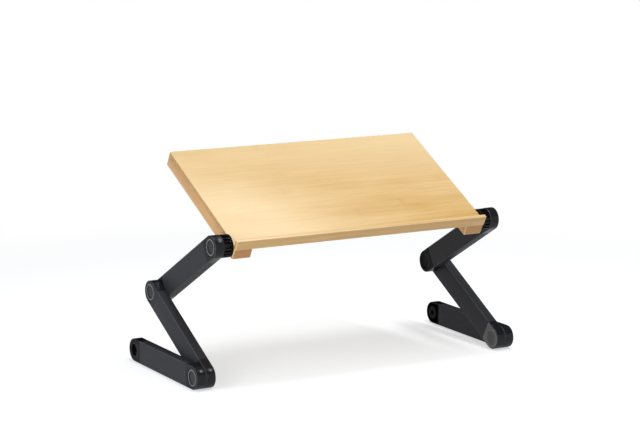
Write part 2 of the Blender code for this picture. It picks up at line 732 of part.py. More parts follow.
def add_leg(side, word, tray):
    """One leg: hub, upper link, middle link and foot link, each hung on the one before it."""
    outward = Vector((side, 0.0, 0.0))
    top = Vector((side * TOP_JOINT_X, *TOP_AXIS))
    knee = Vector((side * KNEE_JOINT_X, *KNEE_AXIS))
    foot = Vector((side * FOOT_JOINT_X, *FOOT_AXIS))
    upper_run = direction(TOP_AXIS, KNEE_AXIS)
    middle_run = direction(KNEE_AXIS, FOOT_AXIS)

    hub = add_frame(f"hub_frame_{word}", top, TRAY_RUN, outward, tray)
    add_piece(f"tray_hub_{word}", meshes["tray_hub"], black_plastic, hub)
    add_lock(word, "top", hub)
    for place, along in (("front", -HUB_SCREW_CIRCLE), ("rear", HUB_SCREW_CIRCLE)):
        screw = meshes["hub_screw"]
        add_piece(f"hub_screw_{place}_{word}", screw, screw_steel, hub, (along, 0.0, BORE_FLOOR))

    upper = add_frame(f"upper_link_frame_{word}", top, upper_run, outward, tray)
    add_piece(f"upper_top_cap_{word}", meshes["outer_cap"], black_plastic, upper)
    add_piece(f"upper_tube_{word}", meshes["link_tube"], black_aluminium, upper)
    add_piece(f"button_top_{word}", meshes["push_button"], button_plastic, upper)
    upper_end = add_frame(f"knee_socket_{word}", knee, -upper_run, outward, upper)
    add_piece(f"upper_knee_cap_{word}", meshes["inner_cap"], black_plastic, upper_end)
    add_lock(word, "knee", upper_end)

    middle = add_frame(f"middle_link_frame_{word}", knee, middle_run, outward, upper)
    add_piece(f"middle_knee_cap_{word}", meshes["outer_cap"], black_plastic, middle)
    add_piece(f"middle_tube_{word}", meshes["link_tube"], black_aluminium, middle)
    add_piece(f"button_knee_{word}", meshes["push_button"], button_plastic, middle)
    middle_end = add_frame(f"foot_socket_{word}", foot, -middle_run, outward, middle)
    add_piece(f"middle_foot_cap_{word}", meshes["inner_cap"], black_plastic, middle_end)
    add_lock(word, "foot", middle_end)

    foot_run = Vector((0.0, 1.0, 0.0))
    foot_link = add_frame(f"foot_link_frame_{word}", foot, foot_run, outward, middle)
    add_piece(f"foot_front_cap_{word}", meshes["outer_cap"], black_plastic, foot_link)
    add_piece(f"foot_tube_{word}", meshes["link_tube"], black_aluminium, foot_link)
    add_piece(f"button_foot_{word}", meshes["push_button"], button_plastic, foot_link)
    rear = foot + foot_run * LINK_PITCH
    foot_end = add_frame(f"foot_end_frame_{word}", rear, -foot_run, outward, foot_link)
    add_piece(f"foot_rear_cap_{word}", meshes["rear_cap"], black_plastic, foot_end)


def direction(start, end):
    """Unit vector in the YZ plane from one axis to another."""
    return Vector((0.0, end[0] - start[0], end[1] - start[1])).normalized()


# The hinge axes in the YZ plane. The table's front and rear ends lie equally far from the origin
TRAY_RUN = Vector((0.0, math.cos(TRAY_TILT), math.sin(TRAY_TILT)))
LEAN_BACK = LINK_PITCH * math.cos(MIDDLE_RISE)
LEAN_FORWARD = LINK_PITCH * math.cos(UPPER_RISE)
LIP_REACH = LEAN_BACK - LEAN_FORWARD + LIP_FRONT * TRAY_RUN.y - LIP_TOP * TRAY_RUN.z
FRONT_REACH = min(-HALF_WIDTH, LIP_REACH)
REAR_REACH = LINK_PITCH + HALF_WIDTH
FOOT_AXIS = (-(FRONT_REACH + REAR_REACH) / 2, HALF_WIDTH)
KNEE_AXIS = (FOOT_AXIS[0] + LEAN_BACK, FOOT_AXIS[1] + LINK_PITCH * math.sin(MIDDLE_RISE))
TOP_AXIS = (KNEE_AXIS[0] - LEAN_FORWARD, KNEE_AXIS[1] + LINK_PITCH * math.sin(UPPER_RISE))
TRAY_SIDE_HEAD_X = TOP_JOINT_X + BORE_FLOOR
SIDES = ((-1, "left"), (1, "right"))

clear_scene()
parts = new_collection("laptop_bed_table")
cutters = new_collection("cutters")
parent_world = {}

bamboo = new_material("bamboo", (0.78, 0.53, 0.27), 0.45)
black_aluminium = new_material("black_aluminium", (0.045, 0.046, 0.050), 0.42, 0.6)
black_plastic = new_material("black_plastic", (0.030, 0.031, 0.036), 0.34)
button_plastic = new_material("button_plastic", (0.055, 0.057, 0.062), 0.45)
gear_steel = new_material("gear_steel", (0.50, 0.50, 0.51), 0.40, 1.0)
spring_steel = new_material("spring_steel", (0.60, 0.60, 0.62), 0.30, 1.0)
bolt_steel = new_material("bolt_steel", (0.45, 0.45, 0.46), 0.35, 1.0)
screw_steel = new_material("screw_steel", (0.55, 0.53, 0.48), 0.35, 1.0)

meshes = {
    "outer_cap": outer_cap(),
    "inner_cap": inner_cap(),
    "rear_cap": rear_cap(),
    "tray_hub": tray_hub(),
    "link_tube": link_tube(),
    "push_button": push_button(),
    "lock_gear": lock_gear(),
    "pivot_bolt": pivot_bolt(),
    "lock_spring": lock_spring(),
    "hub_screw": wood_screw(HUB_SCREW_LENGTH),
}

tray_normal = Vector((0.0, -TRAY_RUN.z, TRAY_RUN.y))
tray_frame = add_frame("tray_frame", Vector((0.0, *TOP_AXIS)), Vector((1.0, 0.0, 0.0)), tray_normal)
add_tray(tray_frame)
for leg_side, leg_word in SIDES:
    add_leg(leg_side, leg_word, tray_frame)
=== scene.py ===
"""Looks of a laptop bed table: a bamboo tray on two folding legs of flat black tube, on a pale floor."""

import json
import math

import bmesh
import bpy
import numpy as np
from bpy.props import FloatProperty, FloatVectorProperty, IntProperty, PointerProperty
from mathutils import Matrix, Vector

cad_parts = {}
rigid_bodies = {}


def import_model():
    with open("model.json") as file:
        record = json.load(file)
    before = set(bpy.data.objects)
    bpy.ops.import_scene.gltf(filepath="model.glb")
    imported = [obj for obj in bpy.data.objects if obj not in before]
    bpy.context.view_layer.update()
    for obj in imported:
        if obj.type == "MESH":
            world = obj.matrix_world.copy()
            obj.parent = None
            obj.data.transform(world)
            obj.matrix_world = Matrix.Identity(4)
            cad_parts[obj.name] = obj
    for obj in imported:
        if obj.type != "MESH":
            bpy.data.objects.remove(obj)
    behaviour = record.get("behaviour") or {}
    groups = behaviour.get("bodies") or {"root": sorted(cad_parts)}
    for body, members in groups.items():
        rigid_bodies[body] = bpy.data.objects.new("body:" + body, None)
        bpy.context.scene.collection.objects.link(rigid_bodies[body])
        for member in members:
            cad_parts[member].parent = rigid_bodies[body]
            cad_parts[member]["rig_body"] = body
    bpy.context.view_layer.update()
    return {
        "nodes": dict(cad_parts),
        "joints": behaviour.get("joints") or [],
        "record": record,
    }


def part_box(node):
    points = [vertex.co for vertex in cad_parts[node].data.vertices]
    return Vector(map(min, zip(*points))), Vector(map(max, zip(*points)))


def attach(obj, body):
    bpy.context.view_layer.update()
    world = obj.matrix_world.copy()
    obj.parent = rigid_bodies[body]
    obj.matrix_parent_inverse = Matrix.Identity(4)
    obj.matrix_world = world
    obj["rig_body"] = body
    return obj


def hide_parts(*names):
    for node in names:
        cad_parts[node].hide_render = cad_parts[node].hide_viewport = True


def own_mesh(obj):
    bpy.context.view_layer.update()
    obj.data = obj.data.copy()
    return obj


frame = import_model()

bl_info = {
    "name": "Laptop Bed Table",
    "version": (1, 0, 0),
    "blender": (4, 5, 0),
    "location": "3D View > Sidebar > Bed Table",
    "description": "Builds the tray, the folding legs and the studio of a laptop bed table",
    "category": "Object",
}

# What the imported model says: its joints, and the way that the tray leans
JOINTS = {joint["name"]: joint for joint in frame["joints"]}
MOUNTS = {mount["name"]: mount for mount in frame["record"]["mounts"]}
TRAY_NORMAL = Vector(MOUNTS["tray_top"]["axis"])
TILT = math.atan2(-TRAY_NORMAL.y, TRAY_NORMAL.z)
BATTEN_LOW, BATTEN_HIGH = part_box("batten_right")
BOARD_LOW, BOARD_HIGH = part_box("board")
TUBE_LOW, TUBE_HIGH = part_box("foot_tube_right")

# Sizes of the tray, as in the solids
BOARD_DEPTH = 0.260
BOARD_THICKNESS = 0.008
LIP_THICKNESS = 0.007
LIP_RISE = 0.010
BATTEN_HEIGHT = 0.0195
BATTEN_SETBACK = 0.002
AXIS_SETBACK = 0.015
GLUE_GAP = 0.0003
BATTEN_SCREW_INSET = 0.055
BATTEN_SCREW_LENGTH = 0.0235
HUB_SCREW_LENGTH = 0.021

# Sizes of the links and of what is in their joints, as in the solids
HALF_WIDTH = (TUBE_HIGH.z - TUBE_LOW.z) / 2
THICKNESS = TUBE_HIGH.x - TUBE_LOW.x
HALF_GAP = 0.00015
SEAT_GAP = 0.0003
RUNNING_GAP = 0.0003
SHOULDER = HALF_WIDTH + 0.0016
TONGUE_LENGTH = 0.024
TONGUE_WALL = 0.0025
TUBE_WALL = 0.0016
FACE = HALF_GAP + THICKNESS
MIDDLE = HALF_GAP + THICKNESS / 2
BORE_FLOOR = -HALF_GAP - THICKNESS + 0.004
GEAR_TOP = HALF_GAP + 0.003
GEAR_BOTTOM = GEAR_TOP - 0.0065
TRAVEL = JOINTS["gear_slide_top_right"]["range_m"][1]
HOOK_BOTTOM = GEAR_TOP + RUNNING_GAP
WEB_BOTTOM = HOOK_BOTTOM + 0.0010
WEB_TOP = WEB_BOTTOM + 0.0022
HEAD_BOTTOM = WEB_TOP + RUNNING_GAP
HEAD_TOP = HEAD_BOTTOM + 0.0022
BUTTON_RADIUS = 0.0143
BUTTON_TOP = FACE - 0.0002
PLATE_BOTTOM = BUTTON_TOP - 0.0036
BUTTON_DISH = 0.0112
SKIRT_BOTTOM = WEB_TOP + TRAVEL + RUNNING_GAP
BOSS_TOP = GEAR_BOTTOM - TRAVEL - RUNNING_GAP
BOLT_RADIUS = 0.0020
BOLT_HOLE = BOLT_RADIUS + RUNNING_GAP
BOLT_END = BORE_FLOOR - 0.0015
BOSS_RADIUS = BOLT_HOLE + 0.0014
GEAR_TEETH = 12
GEAR_ROOT = 0.0106
GEAR_TIP = 0.0126
SPRING_RADIUS = 0.0047
SPRING_WIRE = 0.0010
SPRING_TURNS = 4
HUB_RADIUS = HALF_WIDTH - 0.0005
HUB_BACK = BORE_FLOOR - 0.003
HUB_FLANGE = 0.0042
HUB_SLOTS = 18
HUB_GROOVE = 0.00275
HUB_SCREW_CIRCLE = (SPRING_RADIUS + SPRING_WIRE / 2 + GEAR_ROOT) / 2
DISH_RADIUS = 0.0138
DISH_DEPTH = 0.0009
REAR_POCKET = 0.010
REAR_POCKET_FLOOR = FACE - 0.004
REAR_BORE = 0.0045
REAR_BOSS = REAR_POCKET + 0.0017
REAR_RIM = 0.0022
REAR_FLOOR = FACE - 0.003

BATTEN_FRONT = -AXIS_SETBACK - GLUE_GAP - LIP_THICKNESS + BATTEN_SETBACK
BATTEN_MIDDLE = (BATTEN_FRONT + BOARD_DEPTH - AXIS_SETBACK) / 2
SIDES = ((-1, "left"), (1, "right"))
PLACES = ("top", "knee", "foot")
TURN = 2 * math.pi
SHARP = math.radians(32)
WHITE = (1.0, 1.0, 1.0, 1.0)


class TraySizes(bpy.types.PropertyGroup):
    """Sizes of the bamboo tray that show in its surface"""

    edge: FloatProperty(name="Edge rounding", description="Radius of the board's and lip's edges",
                        default=0.0011, unit="LENGTH")
    batten_edge: FloatProperty(name="Batten rounding", description="Radius of the battens' lower edges",
                               default=0.0024, unit="LENGTH")
    strip: FloatProperty(name="Strip width", description="Width of one bamboo strip in the board",
                         default=0.0185, unit="LENGTH")
    node_spacing: FloatProperty(name="Node spacing", description="Length of cane between two of its nodes",
                                default=0.310, unit="LENGTH")


class LegSizes(bpy.types.PropertyGroup):
    """Sizes of the black links that show in their surface"""

    edge: FloatProperty(name="Edge rounding", description="Radius of the long edges of tubes and caps",
                        default=0.0013, unit="LENGTH")
    edge_steps: IntProperty(name="Edge steps", description="Faces across a rounded edge", default=5)
    turn_steps: IntProperty(name="Turn steps", description="Points once round a joint", default=240)
    pocket_edge: FloatProperty(name="Pocket edge", description="Radius of the rim round each button",
                               default=0.0009, unit="LENGTH")
    button_dish: FloatProperty(name="Button dish", description="Depth of the hollow in a button's face",
                               default=0.0016, unit="LENGTH")
    button_ridges: IntProperty(name="Button ridges", description="Grip ridges round a button's rim",
                               default=36)


class TableColours(bpy.types.PropertyGroup):
    """Colours of the table's finishes"""

    cane_light: FloatVectorProperty(name="Light strip", description="Palest bamboo strip", subtype="COLOR",
                                    default=(0.80, 0.550, 0.235), min=0, max=1)
    cane_dark: FloatVectorProperty(name="Dark strip", description="Deepest bamboo strip", subtype="COLOR",
                                   default=(0.68, 0.405, 0.125), min=0, max=1)
    cane_node: FloatVectorProperty(name="Cane node", description="Mark where a cane had a node",
                                   subtype="COLOR", default=(0.60, 0.30, 0.070), min=0, max=1)
    end_grain: FloatVectorProperty(name="End grain", description="Cut end of the strips", subtype="COLOR",
                                   default=(0.42, 0.205, 0.075), min=0, max=1)
    tube: FloatVectorProperty(name="Anodised tube", description="Black anodised aluminium", subtype="COLOR",
                              default=(0.0310, 0.0320, 0.0375), min=0, max=1)
    moulding: FloatVectorProperty(name="Black moulding", description="Moulded caps and hubs", subtype="COLOR",
                                  default=(0.0100, 0.0104, 0.0135), min=0, max=1)
    button: FloatVectorProperty(name="Button", description="Moulded push buttons", subtype="COLOR",
                                default=(0.0160, 0.0170, 0.0205), min=0, max=1)
    # Grey along the black edges: partly real rubbing, partly a painted highlight where rounded edges catch
    # light.
    worn_and_highlit: FloatVectorProperty(name="Worn edge", description="Grey that shows along handled black edges",
                              subtype="COLOR", default=(0.42, 0.425, 0.435), min=0, max=1)
    # Pale bamboo along rounded edges: partly sanded wood, partly a painted highlight where the edges catch
    # light.
    sanded_and_highlit: FloatVectorProperty(name="Sanded edge", description="Pale bamboo along rounded edges",
                                subtype="COLOR", default=(0.93, 0.72, 0.42), min=0, max=1)
    steel: FloatVectorProperty(name="Steel", description="Gears, springs, bolts and screws", subtype="COLOR",
                               default=(0.52, 0.52, 0.53), min=0, max=1)


class StudioSettings(bpy.types.PropertyGroup):
    """Floor, lamps and camera of the studio"""

    lens: FloatProperty(name="Lens", description="Focal length in millimetres", default=128.47)
    azimuth: FloatProperty(name="Azimuth", description="How far the view turns from the front",
                           default=math.radians(30.134), subtype="ANGLE")
    elevation: FloatProperty(name="Elevation", description="How far the view looks down",
                             default=math.radians(10.588), subtype="ANGLE")
    roll: FloatProperty(name="Roll", description="Turn of the picture about the line of sight",
                        default=math.radians(0.437), subtype="ANGLE")
    eye: FloatVectorProperty(name="Eye", description="Where the camera stands", subtype="TRANSLATION",
                             default=(-1.93112, -3.30679, 0.95209))
    key: FloatProperty(name="Key lamp", description="Power of the lamp overhead", default=18.0,
                       subtype="POWER")
    strip: FloatProperty(name="Strip lamp", description="Power of the lamp that shines in the round caps",
                         default=8.0, subtype="POWER")
    sheen: FloatProperty(name="Sheen lamp", description="Power of the lamp that shines in the board",
                         default=0.8, subtype="POWER")
    side: FloatProperty(name="Side lamp", description="Power of the lamp at the left", default=5.0,
                        subtype="POWER")
    front: FloatProperty(name="Front lamp", description="Power of the low lamp in front", default=3.0,
                         subtype="POWER")
    room: FloatProperty(name="Room light", description="Light from all round on matt surfaces", default=0.32)
    lift: FloatProperty(name="Floor lift", description="Light added to the floor as the camera sees it",
                        default=0.54)
    near: FloatProperty(name="Near floor", description="How far out the floor shows its shading", default=0.8,
                        unit="LENGTH")
    far: FloatProperty(name="Far floor", description="Where the floor has turned white", default=1.3,
                       unit="LENGTH")
    floor: FloatVectorProperty(name="Floor", description="Colour of the floor", subtype="COLOR",
                               default=(0.60, 0.60, 0.60), min=0, max=1)


class Value:
    """A socket of a node tree that takes part in arithmetic, where each sum adds its Math node"""

    def __init__(self, finish, socket):
        self.finish = finish
        self.socket = socket

    def maths(self, operation, *values):
        sockets = dict(enumerate(values))
        return self.finish.add("ShaderNodeMath", {"operation": operation}, sockets)

    def __add__(self, other):
        return self.maths("ADD", self, other)

    def __sub__(self, other):
        return self.maths("SUBTRACT", self, other)

    def __rsub__(self, other):
        return self.maths("SUBTRACT", other, self)

    def __mul__(self, other):
        return self.maths("MULTIPLY", self, other)

    def __truediv__(self, other):
        return self.maths("DIVIDE", self, other)

    __radd__ = __add__
    __rmul__ = __mul__

    def floor(self):
        return self.maths("FLOOR", self)

    def size(self):
        return self.maths("ABSOLUTE", self)

    def from_nearest(self, spacing):
        """Distance to the nearest whole multiple of a spacing"""
        return self.maths("PINGPONG", self, spacing / 2)

    def step(self, low, high):
        """0 below low, 1 above high, and a smooth rise between"""
        sockets = {"Value": self, "From Min": low, "From Max": high}
        return self.finish.add("ShaderNodeMapRange", {"interpolation_type": "SMOOTHSTEP"}, sockets)


class Finish:
    """A material or world under construction"""

    def __init__(self, name, owners=None):
        self.owner = (bpy.data.materials if owners is None else owners).new(name)
        self.owner.use_nodes = True
        self.tree = self.owner.node_tree
        self.shader = self.tree.nodes.get("Principled BSDF")

    def add(self, kind, settings=None, sockets=None, result=0):
        """One node: its settings first, then the values or links of its sockets"""
        node = self.tree.nodes.new(kind)
        for name, setting in (settings or {}).items():
            setattr(node, name, setting)
        for name, value in (sockets or {}).items():
            self.feed(node.inputs[name], value)
        return Value(self, node.outputs[result])

    def feed(self, socket, value):
        if isinstance(value, Value):
            self.tree.links.new(value.socket, socket)
        else:
            socket.default_value = value

    def place(self, origin=(0.0, 0.0, 0.0), turn=(0.0, 0.0, 0.0)):
        """Object coordinates from an origin, in axes turned with a piece"""
        point = self.add("ShaderNodeTexCoord", result="Object")
        sockets = {"Vector": point, "Location": origin, "Rotation": turn}
        return self.add("ShaderNodeMapping", {"vector_type": "TEXTURE"}, sockets)

    def parts(self, vector):
        """The three components of a vector"""
        split = self.add("ShaderNodeSeparateXYZ", sockets={"Vector": vector})
        return [Value(self, output) for output in split.socket.node.outputs]

    def joined(self, x, y, z):
        """A vector of three values"""
        return self.add("ShaderNodeCombineXYZ", sockets={"X": x, "Y": y, "Z": z})

    def kept(self, name):
        """A number that the piece keeps for each of its points: edge or gloss"""
        return self.add("ShaderNodeAttribute", {"attribute_name": name}, result="Fac")

    def noise(self, vector, scale=1.0, detail=2.0, roughness=0.5):
        sockets = {"Vector": vector, "Scale": scale, "Detail": detail, "Roughness": roughness}
        return self.add("ShaderNodeTexNoise", sockets=sockets)

    def mix(self, factor, first, second):
        """Colour between two, as the factor goes from 0 to 1"""
        sockets = {0: factor, 6: rgba(first), 7: rgba(second)}
        return self.add("ShaderNodeMix", {"data_type": "RGBA"}, sockets, 2)

    def bump(self, height, distance, strength=1.0):
        sockets = {"Height": height, "Distance": distance, "Strength": strength}
        return self.add("ShaderNodeBump", sockets=sockets)

    def surface(self, **values):
        """Values or links of the shader's own sockets, named with underscores for spaces"""
        for name, value in values.items():
            self.feed(self.shader.inputs[name.replace("_", " ")], value)
        return self.owner

    def rays(self, first, *others):
        """1 for the named kinds of ray, else 0"""
        kinds = self.add("ShaderNodeLightPath", result=first)
        total = kinds
        for name in others:
            total = total + Value(self, kinds.socket.node.outputs[name])
        return total


def rgba(colour):
    """A colour as four numbers, or the link that it already is"""
    return colour if isinstance(colour, Value) else (*tuple(colour)[:3], 1.0)


def cane(name, along_tray, half_length, dark=0.0, cut_depth=0.85, shade=(1.0, 1.0, 1.0)):
    """Bamboo strips side by side. Each has its own tone, fine grain along it, and now and then the darker
    mark of a node. Past half_length from the middle the cut ends show, and rounded edges are paler.
    dark deepens the whole piece, cut_depth says how strongly the cut ends differ, and shade multiplies the
    two bamboo colours."""
    sizes = bpy.context.scene.bed_table_tray
    colours = bpy.context.scene.bed_table_colours
    light, deep = (np.multiply(colour, shade) for colour in (colours.cane_light, colours.cane_dark))
    finish = Finish(name)
    across, depth, height = finish.parts(finish.place(TRAY_ORIGIN, (TILT, 0.0, 0.0)))
    along, over = (depth, across) if along_tray else (across, depth)
    middle = BATTEN_MIDDLE if along_tray else 0.0
    number = (over / sizes.strip + height / (BOARD_THICKNESS * 3)).floor()
    tone = finish.add("ShaderNodeTexWhiteNoise", {"noise_dimensions": "1D"}, {"W": number})
    shift = finish.add("ShaderNodeTexWhiteNoise", {"noise_dimensions": "1D"}, {"W": number + 0.5})
    streak = finish.noise(finish.joined(along * 9, over * 190, height * 190), detail=3.0)
    grain = finish.noise(finish.joined(along * 30, over * 900, height * 900), detail=2.0)
    blotch = finish.noise(finish.joined(along * 8, over * 22, height * 22), detail=2.0)
    wander = (streak - 0.5) * 0.010
    node_gap = (along + shift * 7.3 * sizes.node_spacing + wander).from_nearest(sizes.node_spacing)
    rare = tone.step(0.60, 0.85)
    node = (1 - node_gap.step(0.0005, 0.0060)) * rare * 0.22
    halo = (1 - node_gap.step(0.002, 0.024)) * rare * 0.20
    joint = 1 - over.from_nearest(sizes.strip).step(0.0001, 0.0005)
    depth_of_tone = tone * 0.40 + streak.step(0.30, 0.70) * 0.60 + blotch.step(0.30, 0.70) * 0.40
    base = finish.mix(depth_of_tone - 0.25 + dark, light, deep)
    base = finish.mix(node + halo, base, colours.cane_node)
    base = finish.mix(grain.step(0.50, 0.78) * 0.30 + joint * 0.14, base, colours.cane_node)
    speck = finish.noise(finish.joined(along * 500, over * 1100, height * 1100), detail=2.0)
    cut = finish.mix(speck.step(0.35, 0.65), colours.end_grain, deep)
    end = (along - middle).size().step(half_length - 0.0010, half_length - 0.0004)
    base = finish.mix(end * cut_depth, base, cut)
    # Rounded edges turn paler: partly sanded wood, partly a painted highlight along them.
    base = finish.mix(finish.kept("edge") * 0.90, base, colours.sanded_and_highlit)
    bump = finish.bump(grain * 0.6 + streak * 0.8 - joint, 0.00008, 0.6)
    return finish.surface(Base_Color=base, Roughness=0.24 + streak * 0.12 + end * 0.2, Normal=bump,
                          Specular_IOR_Level=0.4, Coat_Weight=0.40, Coat_Roughness=0.18)


def anodised(name):
    """Black anodised aluminium: satin, with a fine pale speckle and faint cloudiness"""
    colours = bpy.context.scene.bed_table_colours
    finish = Finish(name)
    point = finish.place()
    speck = finish.noise(point, 2600.0, 1.0)
    cloud = finish.noise(point, 45.0, 3.0)
    pale = [c * 1.9 + 0.006 for c in colours.tube]
    base = finish.mix(speck.step(0.50, 0.78) * 0.55 + cloud * 0.12, colours.tube, pale)
    # Edges turn slightly grey: partly rubbing, partly a painted highlight along them.
    base = finish.mix(finish.kept("edge") * (0.06 + speck * 0.16), base, colours.worn_and_highlit)
    return finish.surface(Base_Color=base, Roughness=0.42 + speck * 0.12 + cloud * 0.06,
                          Specular_IOR_Level=0.10, Normal=finish.bump(speck, 0.00003, 0.35))


def moulding(name, colour, shine, gloss, polish, wear_and_highlight):
    """Moulded plastic: a fine spark-eroded texture with polished sides, glossier in slow clouds where it has
    been handled, and grey along its edges, partly rubbed and partly a painted highlight"""
    finish = Finish(name)
    point = finish.place()
    pebble = finish.noise(point, 1500.0, 2.0)
    cloud = finish.noise(point, 60.0, 3.0)
    pale = [c * 1.5 + 0.002 for c in colour]
    base = finish.mix(cloud * 0.5, colour, pale)
    # Edges turn grey by the edge mark, scaled by the last argument: partly rubbing, partly a painted
    # highlight.
    rubbed_and_highlit = finish.kept("edge") * (cloud * 0.6 + 0.7) * wear_and_highlight
    base = finish.mix(rubbed_and_highlit, base, bpy.context.scene.bed_table_colours.worn_and_highlit)
    rough = shine + (cloud - 0.5) * 0.10 + pebble * 0.05
    return finish.surface(Base_Color=base, Roughness=rough, Specular_IOR_Level=gloss,
                          Coat_Weight=finish.kept("gloss") * polish, Coat_Roughness=0.12,
                          Normal=finish.bump(pebble, 0.00002, 0.4))


def plated(name, colour, rough, brushing):
    """Bright steel with a fine brushing and slightly uneven plating"""
    finish = Finish(name)
    x, y, z = finish.parts(finish.place())
    brush = finish.noise(finish.joined(x * 2400, y * 300, z * 300), detail=2.0)
    cloud = finish.noise(finish.joined(x, y, z), 220.0, 2.0)
    base = finish.mix(cloud * 0.5 + brush * 0.2, colour, [c * 0.72 for c in colour])
    return finish.surface(Base_Color=base, Metallic=1.0, Roughness=rough + brush * 0.15,
                          Normal=finish.bump(brush, 0.00002, brushing))


def finishes():
    """Every material of the table, made once and kept by name"""
    if "bamboo_board" not in bpy.data.materials:
        colours = bpy.context.scene.bed_table_colours
        half_board = (BOARD_HIGH.x - BOARD_LOW.x) / 2
        cane("bamboo_board", False, half_board)
        cane("bamboo_lip", False, half_board, 0.10, 0.4, (1.0, 0.95, 0.92))
        cane("bamboo_batten", True, BOARD_DEPTH - AXIS_SETBACK - BATTEN_MIDDLE, 0.25, 0.85, (1.0, 0.83, 0.70))
        anodised("anodised_tube")
        moulding("satin_moulding", colours.moulding, 0.34, 0.08, 0.22, 0.13)
        moulding("gloss_moulding", [c * 0.4 for c in colours.moulding], 0.30, 0.03, 0.25, 0.07)
        # Buttons take the edge mark almost fully: their pale ring is a painted highlight as well as rubbing.
        moulding("button_moulding", colours.button, 0.34, 0.15, 0.0, 0.95)
        steel = tuple(colours.steel)
        plated("gear_steel", steel, 0.34, 0.5)
        plated("spring_wire", tuple(c * 1.15 for c in steel), 0.22, 0.2)
        plated("bolt_steel", tuple(c * 0.92 for c in steel), 0.30, 0.3)
        plated("screw_steel", (steel[0] * 1.05, steel[1] * 0.98, steel[2] * 0.80), 0.32, 0.3)
    return bpy.data.materials


def joint_frame(place, word, run):
    """Axes of a joint: Z outwards along the hinge, X along the piece's own link, origin between housings"""
    origin = Vector(JOINTS[f"{place}_hinge_{word}"]["pos_m"])
    outward = Vector((math.copysign(1.0, origin.x), 0.0, 0.0))
    x_axis = Vector(run).normalized()
    axes = Matrix((x_axis, outward.cross(x_axis), outward)).transposed().to_4x4()
    axes.translation = origin
    return axes


def link_run(start, end, word):
    """Direction from one hinge of a leg to another, square to the hinges"""
    first = Vector(JOINTS[f"{start}_hinge_{word}"]["pos_m"])
    second = Vector(JOINTS[f"{end}_hinge_{word}"]["pos_m"])
    return Vector((0.0, second.y - first.y, second.z - first.z))


def link_length():
    """Distance between the two hinge axes of a link"""
    return link_run("top", "knee", "right").length


def link_frames(word):
    """Frames at both ends of each link of a leg, by (link, end)"""
    upper = link_run("top", "knee", word)
    middle = link_run("knee", "foot", word)
    foot = Vector((0.0, 1.0, 0.0))
    rear = joint_frame("foot", word, -foot)
    rear.translation += foot * link_length()
    return {
        ("hub", "start"): joint_frame("top", word, (0.0, math.cos(TILT), math.sin(TILT))),
        ("upper_link", "start"): joint_frame("top", word, upper),
        ("upper_link", "end"): joint_frame("knee", word, -upper),
        ("middle_link", "start"): joint_frame("knee", word, middle),
        ("middle_link", "end"): joint_frame("foot", word, -middle),
        ("foot_link", "start"): joint_frame("foot", word, foot),
        ("foot_link", "end"): rear,
    }


TRAY_ORIGIN = Vector((0.0, *JOINTS["top_hinge_right"]["pos_m"][1:]))
TRAY_FRAME = Matrix.Translation(TRAY_ORIGIN) @ Matrix.Rotation(TILT, 4, "X")


def worn_and_highlit(ring, edge, gloss=0.0):
    """A ring's points with two more columns: how far each lies in a rounded edge, which the finishes paint
    paler as wear and as a highlight, and how polished it is
    """
    count = len(ring)
    return np.column_stack([ring, np.broadcast_to(edge, count), np.broadcast_to(gloss, count)])


def lofted(rings, wrap=False):
    """Skin over rings of equally many points. Quads join each ring to the next. The first and last rings are
    closed by a flat face each, or with wrap are joined to each other."""
    rings = np.stack([ring if ring.shape[1] == 5 else worn_and_highlit(ring, 0.0) for ring in rings])
    rows, columns = rings.shape[:2]
    grid = np.arange(rows * columns).reshape(rows, columns)
    if wrap:
        grid = np.vstack([grid, grid[:1]])
    low, high = grid[:-1], grid[1:]
    quads = np.stack([low, np.roll(low, -1, 1), np.roll(high, -1, 1), high], -1).reshape(-1, 4)
    ends = [] if wrap else [grid[0][::-1].tolist(), grid[-1].tolist()]
    return rings.reshape(-1, 5), quads.tolist() + ends


def together(*shells):
    """Several (points, faces) shells as one"""
    points, faces, start = [], [], 0
    for shell_points, shell_faces in shells:
        points.append(shell_points)
        faces += [[index + start for index in face] for face in shell_faces]
        start += len(shell_points)
    return np.vstack(points), faces


def turned_by(shell, matrix):
    """A shell after a 4x4 matrix"""
    points, faces = shell
    turn = np.array(matrix)
    return np.column_stack([points[:, :3] @ turn[:3, :3].T + turn[:3, 3], points[:, 3:]]), faces


def add_piece(name, shell, matrix, material):
    """A finished piece that stands for the solid of the same name and rides with its body"""
    points, faces = turned_by(shell, matrix)
    mesh = bpy.data.meshes.new(name)
    mesh.from_pydata(points[:, :3].tolist(), [], faces)
    for column, attribute in ((3, "edge"), (4, "gloss")):
        mesh.attributes.new(attribute, "FLOAT", "POINT").data.foreach_set("value", points[:, column])
    edit = bmesh.new()
    edit.from_mesh(mesh)
    bmesh.ops.recalc_face_normals(edit, faces=edit.faces)
    edit.to_mesh(mesh)
    edit.free()
    mesh.shade_smooth()
    mesh.set_sharp_from_angle(angle=SHARP)
    mesh.materials.append(finishes()[material])
    piece = bpy.data.objects.new(f"{name}_skin", mesh)
    bpy.context.scene.collection.objects.link(piece)
    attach(piece, frame["nodes"][name]["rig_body"])
    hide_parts(name)
    return piece


def level(xy, z):
    """Points of a flat ring at one height"""
    return np.column_stack([xy, np.full(len(xy), z)])


def quarter(radius, steps):
    """(inset, rise, edge weight) along a quarter circle that turns from a side into a top. The weight is
    sin(2 angle), so 1 halfway round and 0 at both flats."""
    angle = np.linspace(0, math.pi / 2, steps + 1)
    return np.column_stack([radius * (1 - np.cos(angle)), radius * np.sin(angle), np.sin(2 * angle)])


def angles(extra=()):
    """Even angles once round, with any further ones that an outline needs exactly"""
    count = bpy.context.scene.bed_table_legs.turn_steps
    even = np.arange(count) * TURN / count
    every = np.concatenate([even, np.mod(extra, TURN)])
    every = np.sort(every)
    return every[np.concatenate([[True], np.diff(every) > 1e-5])]


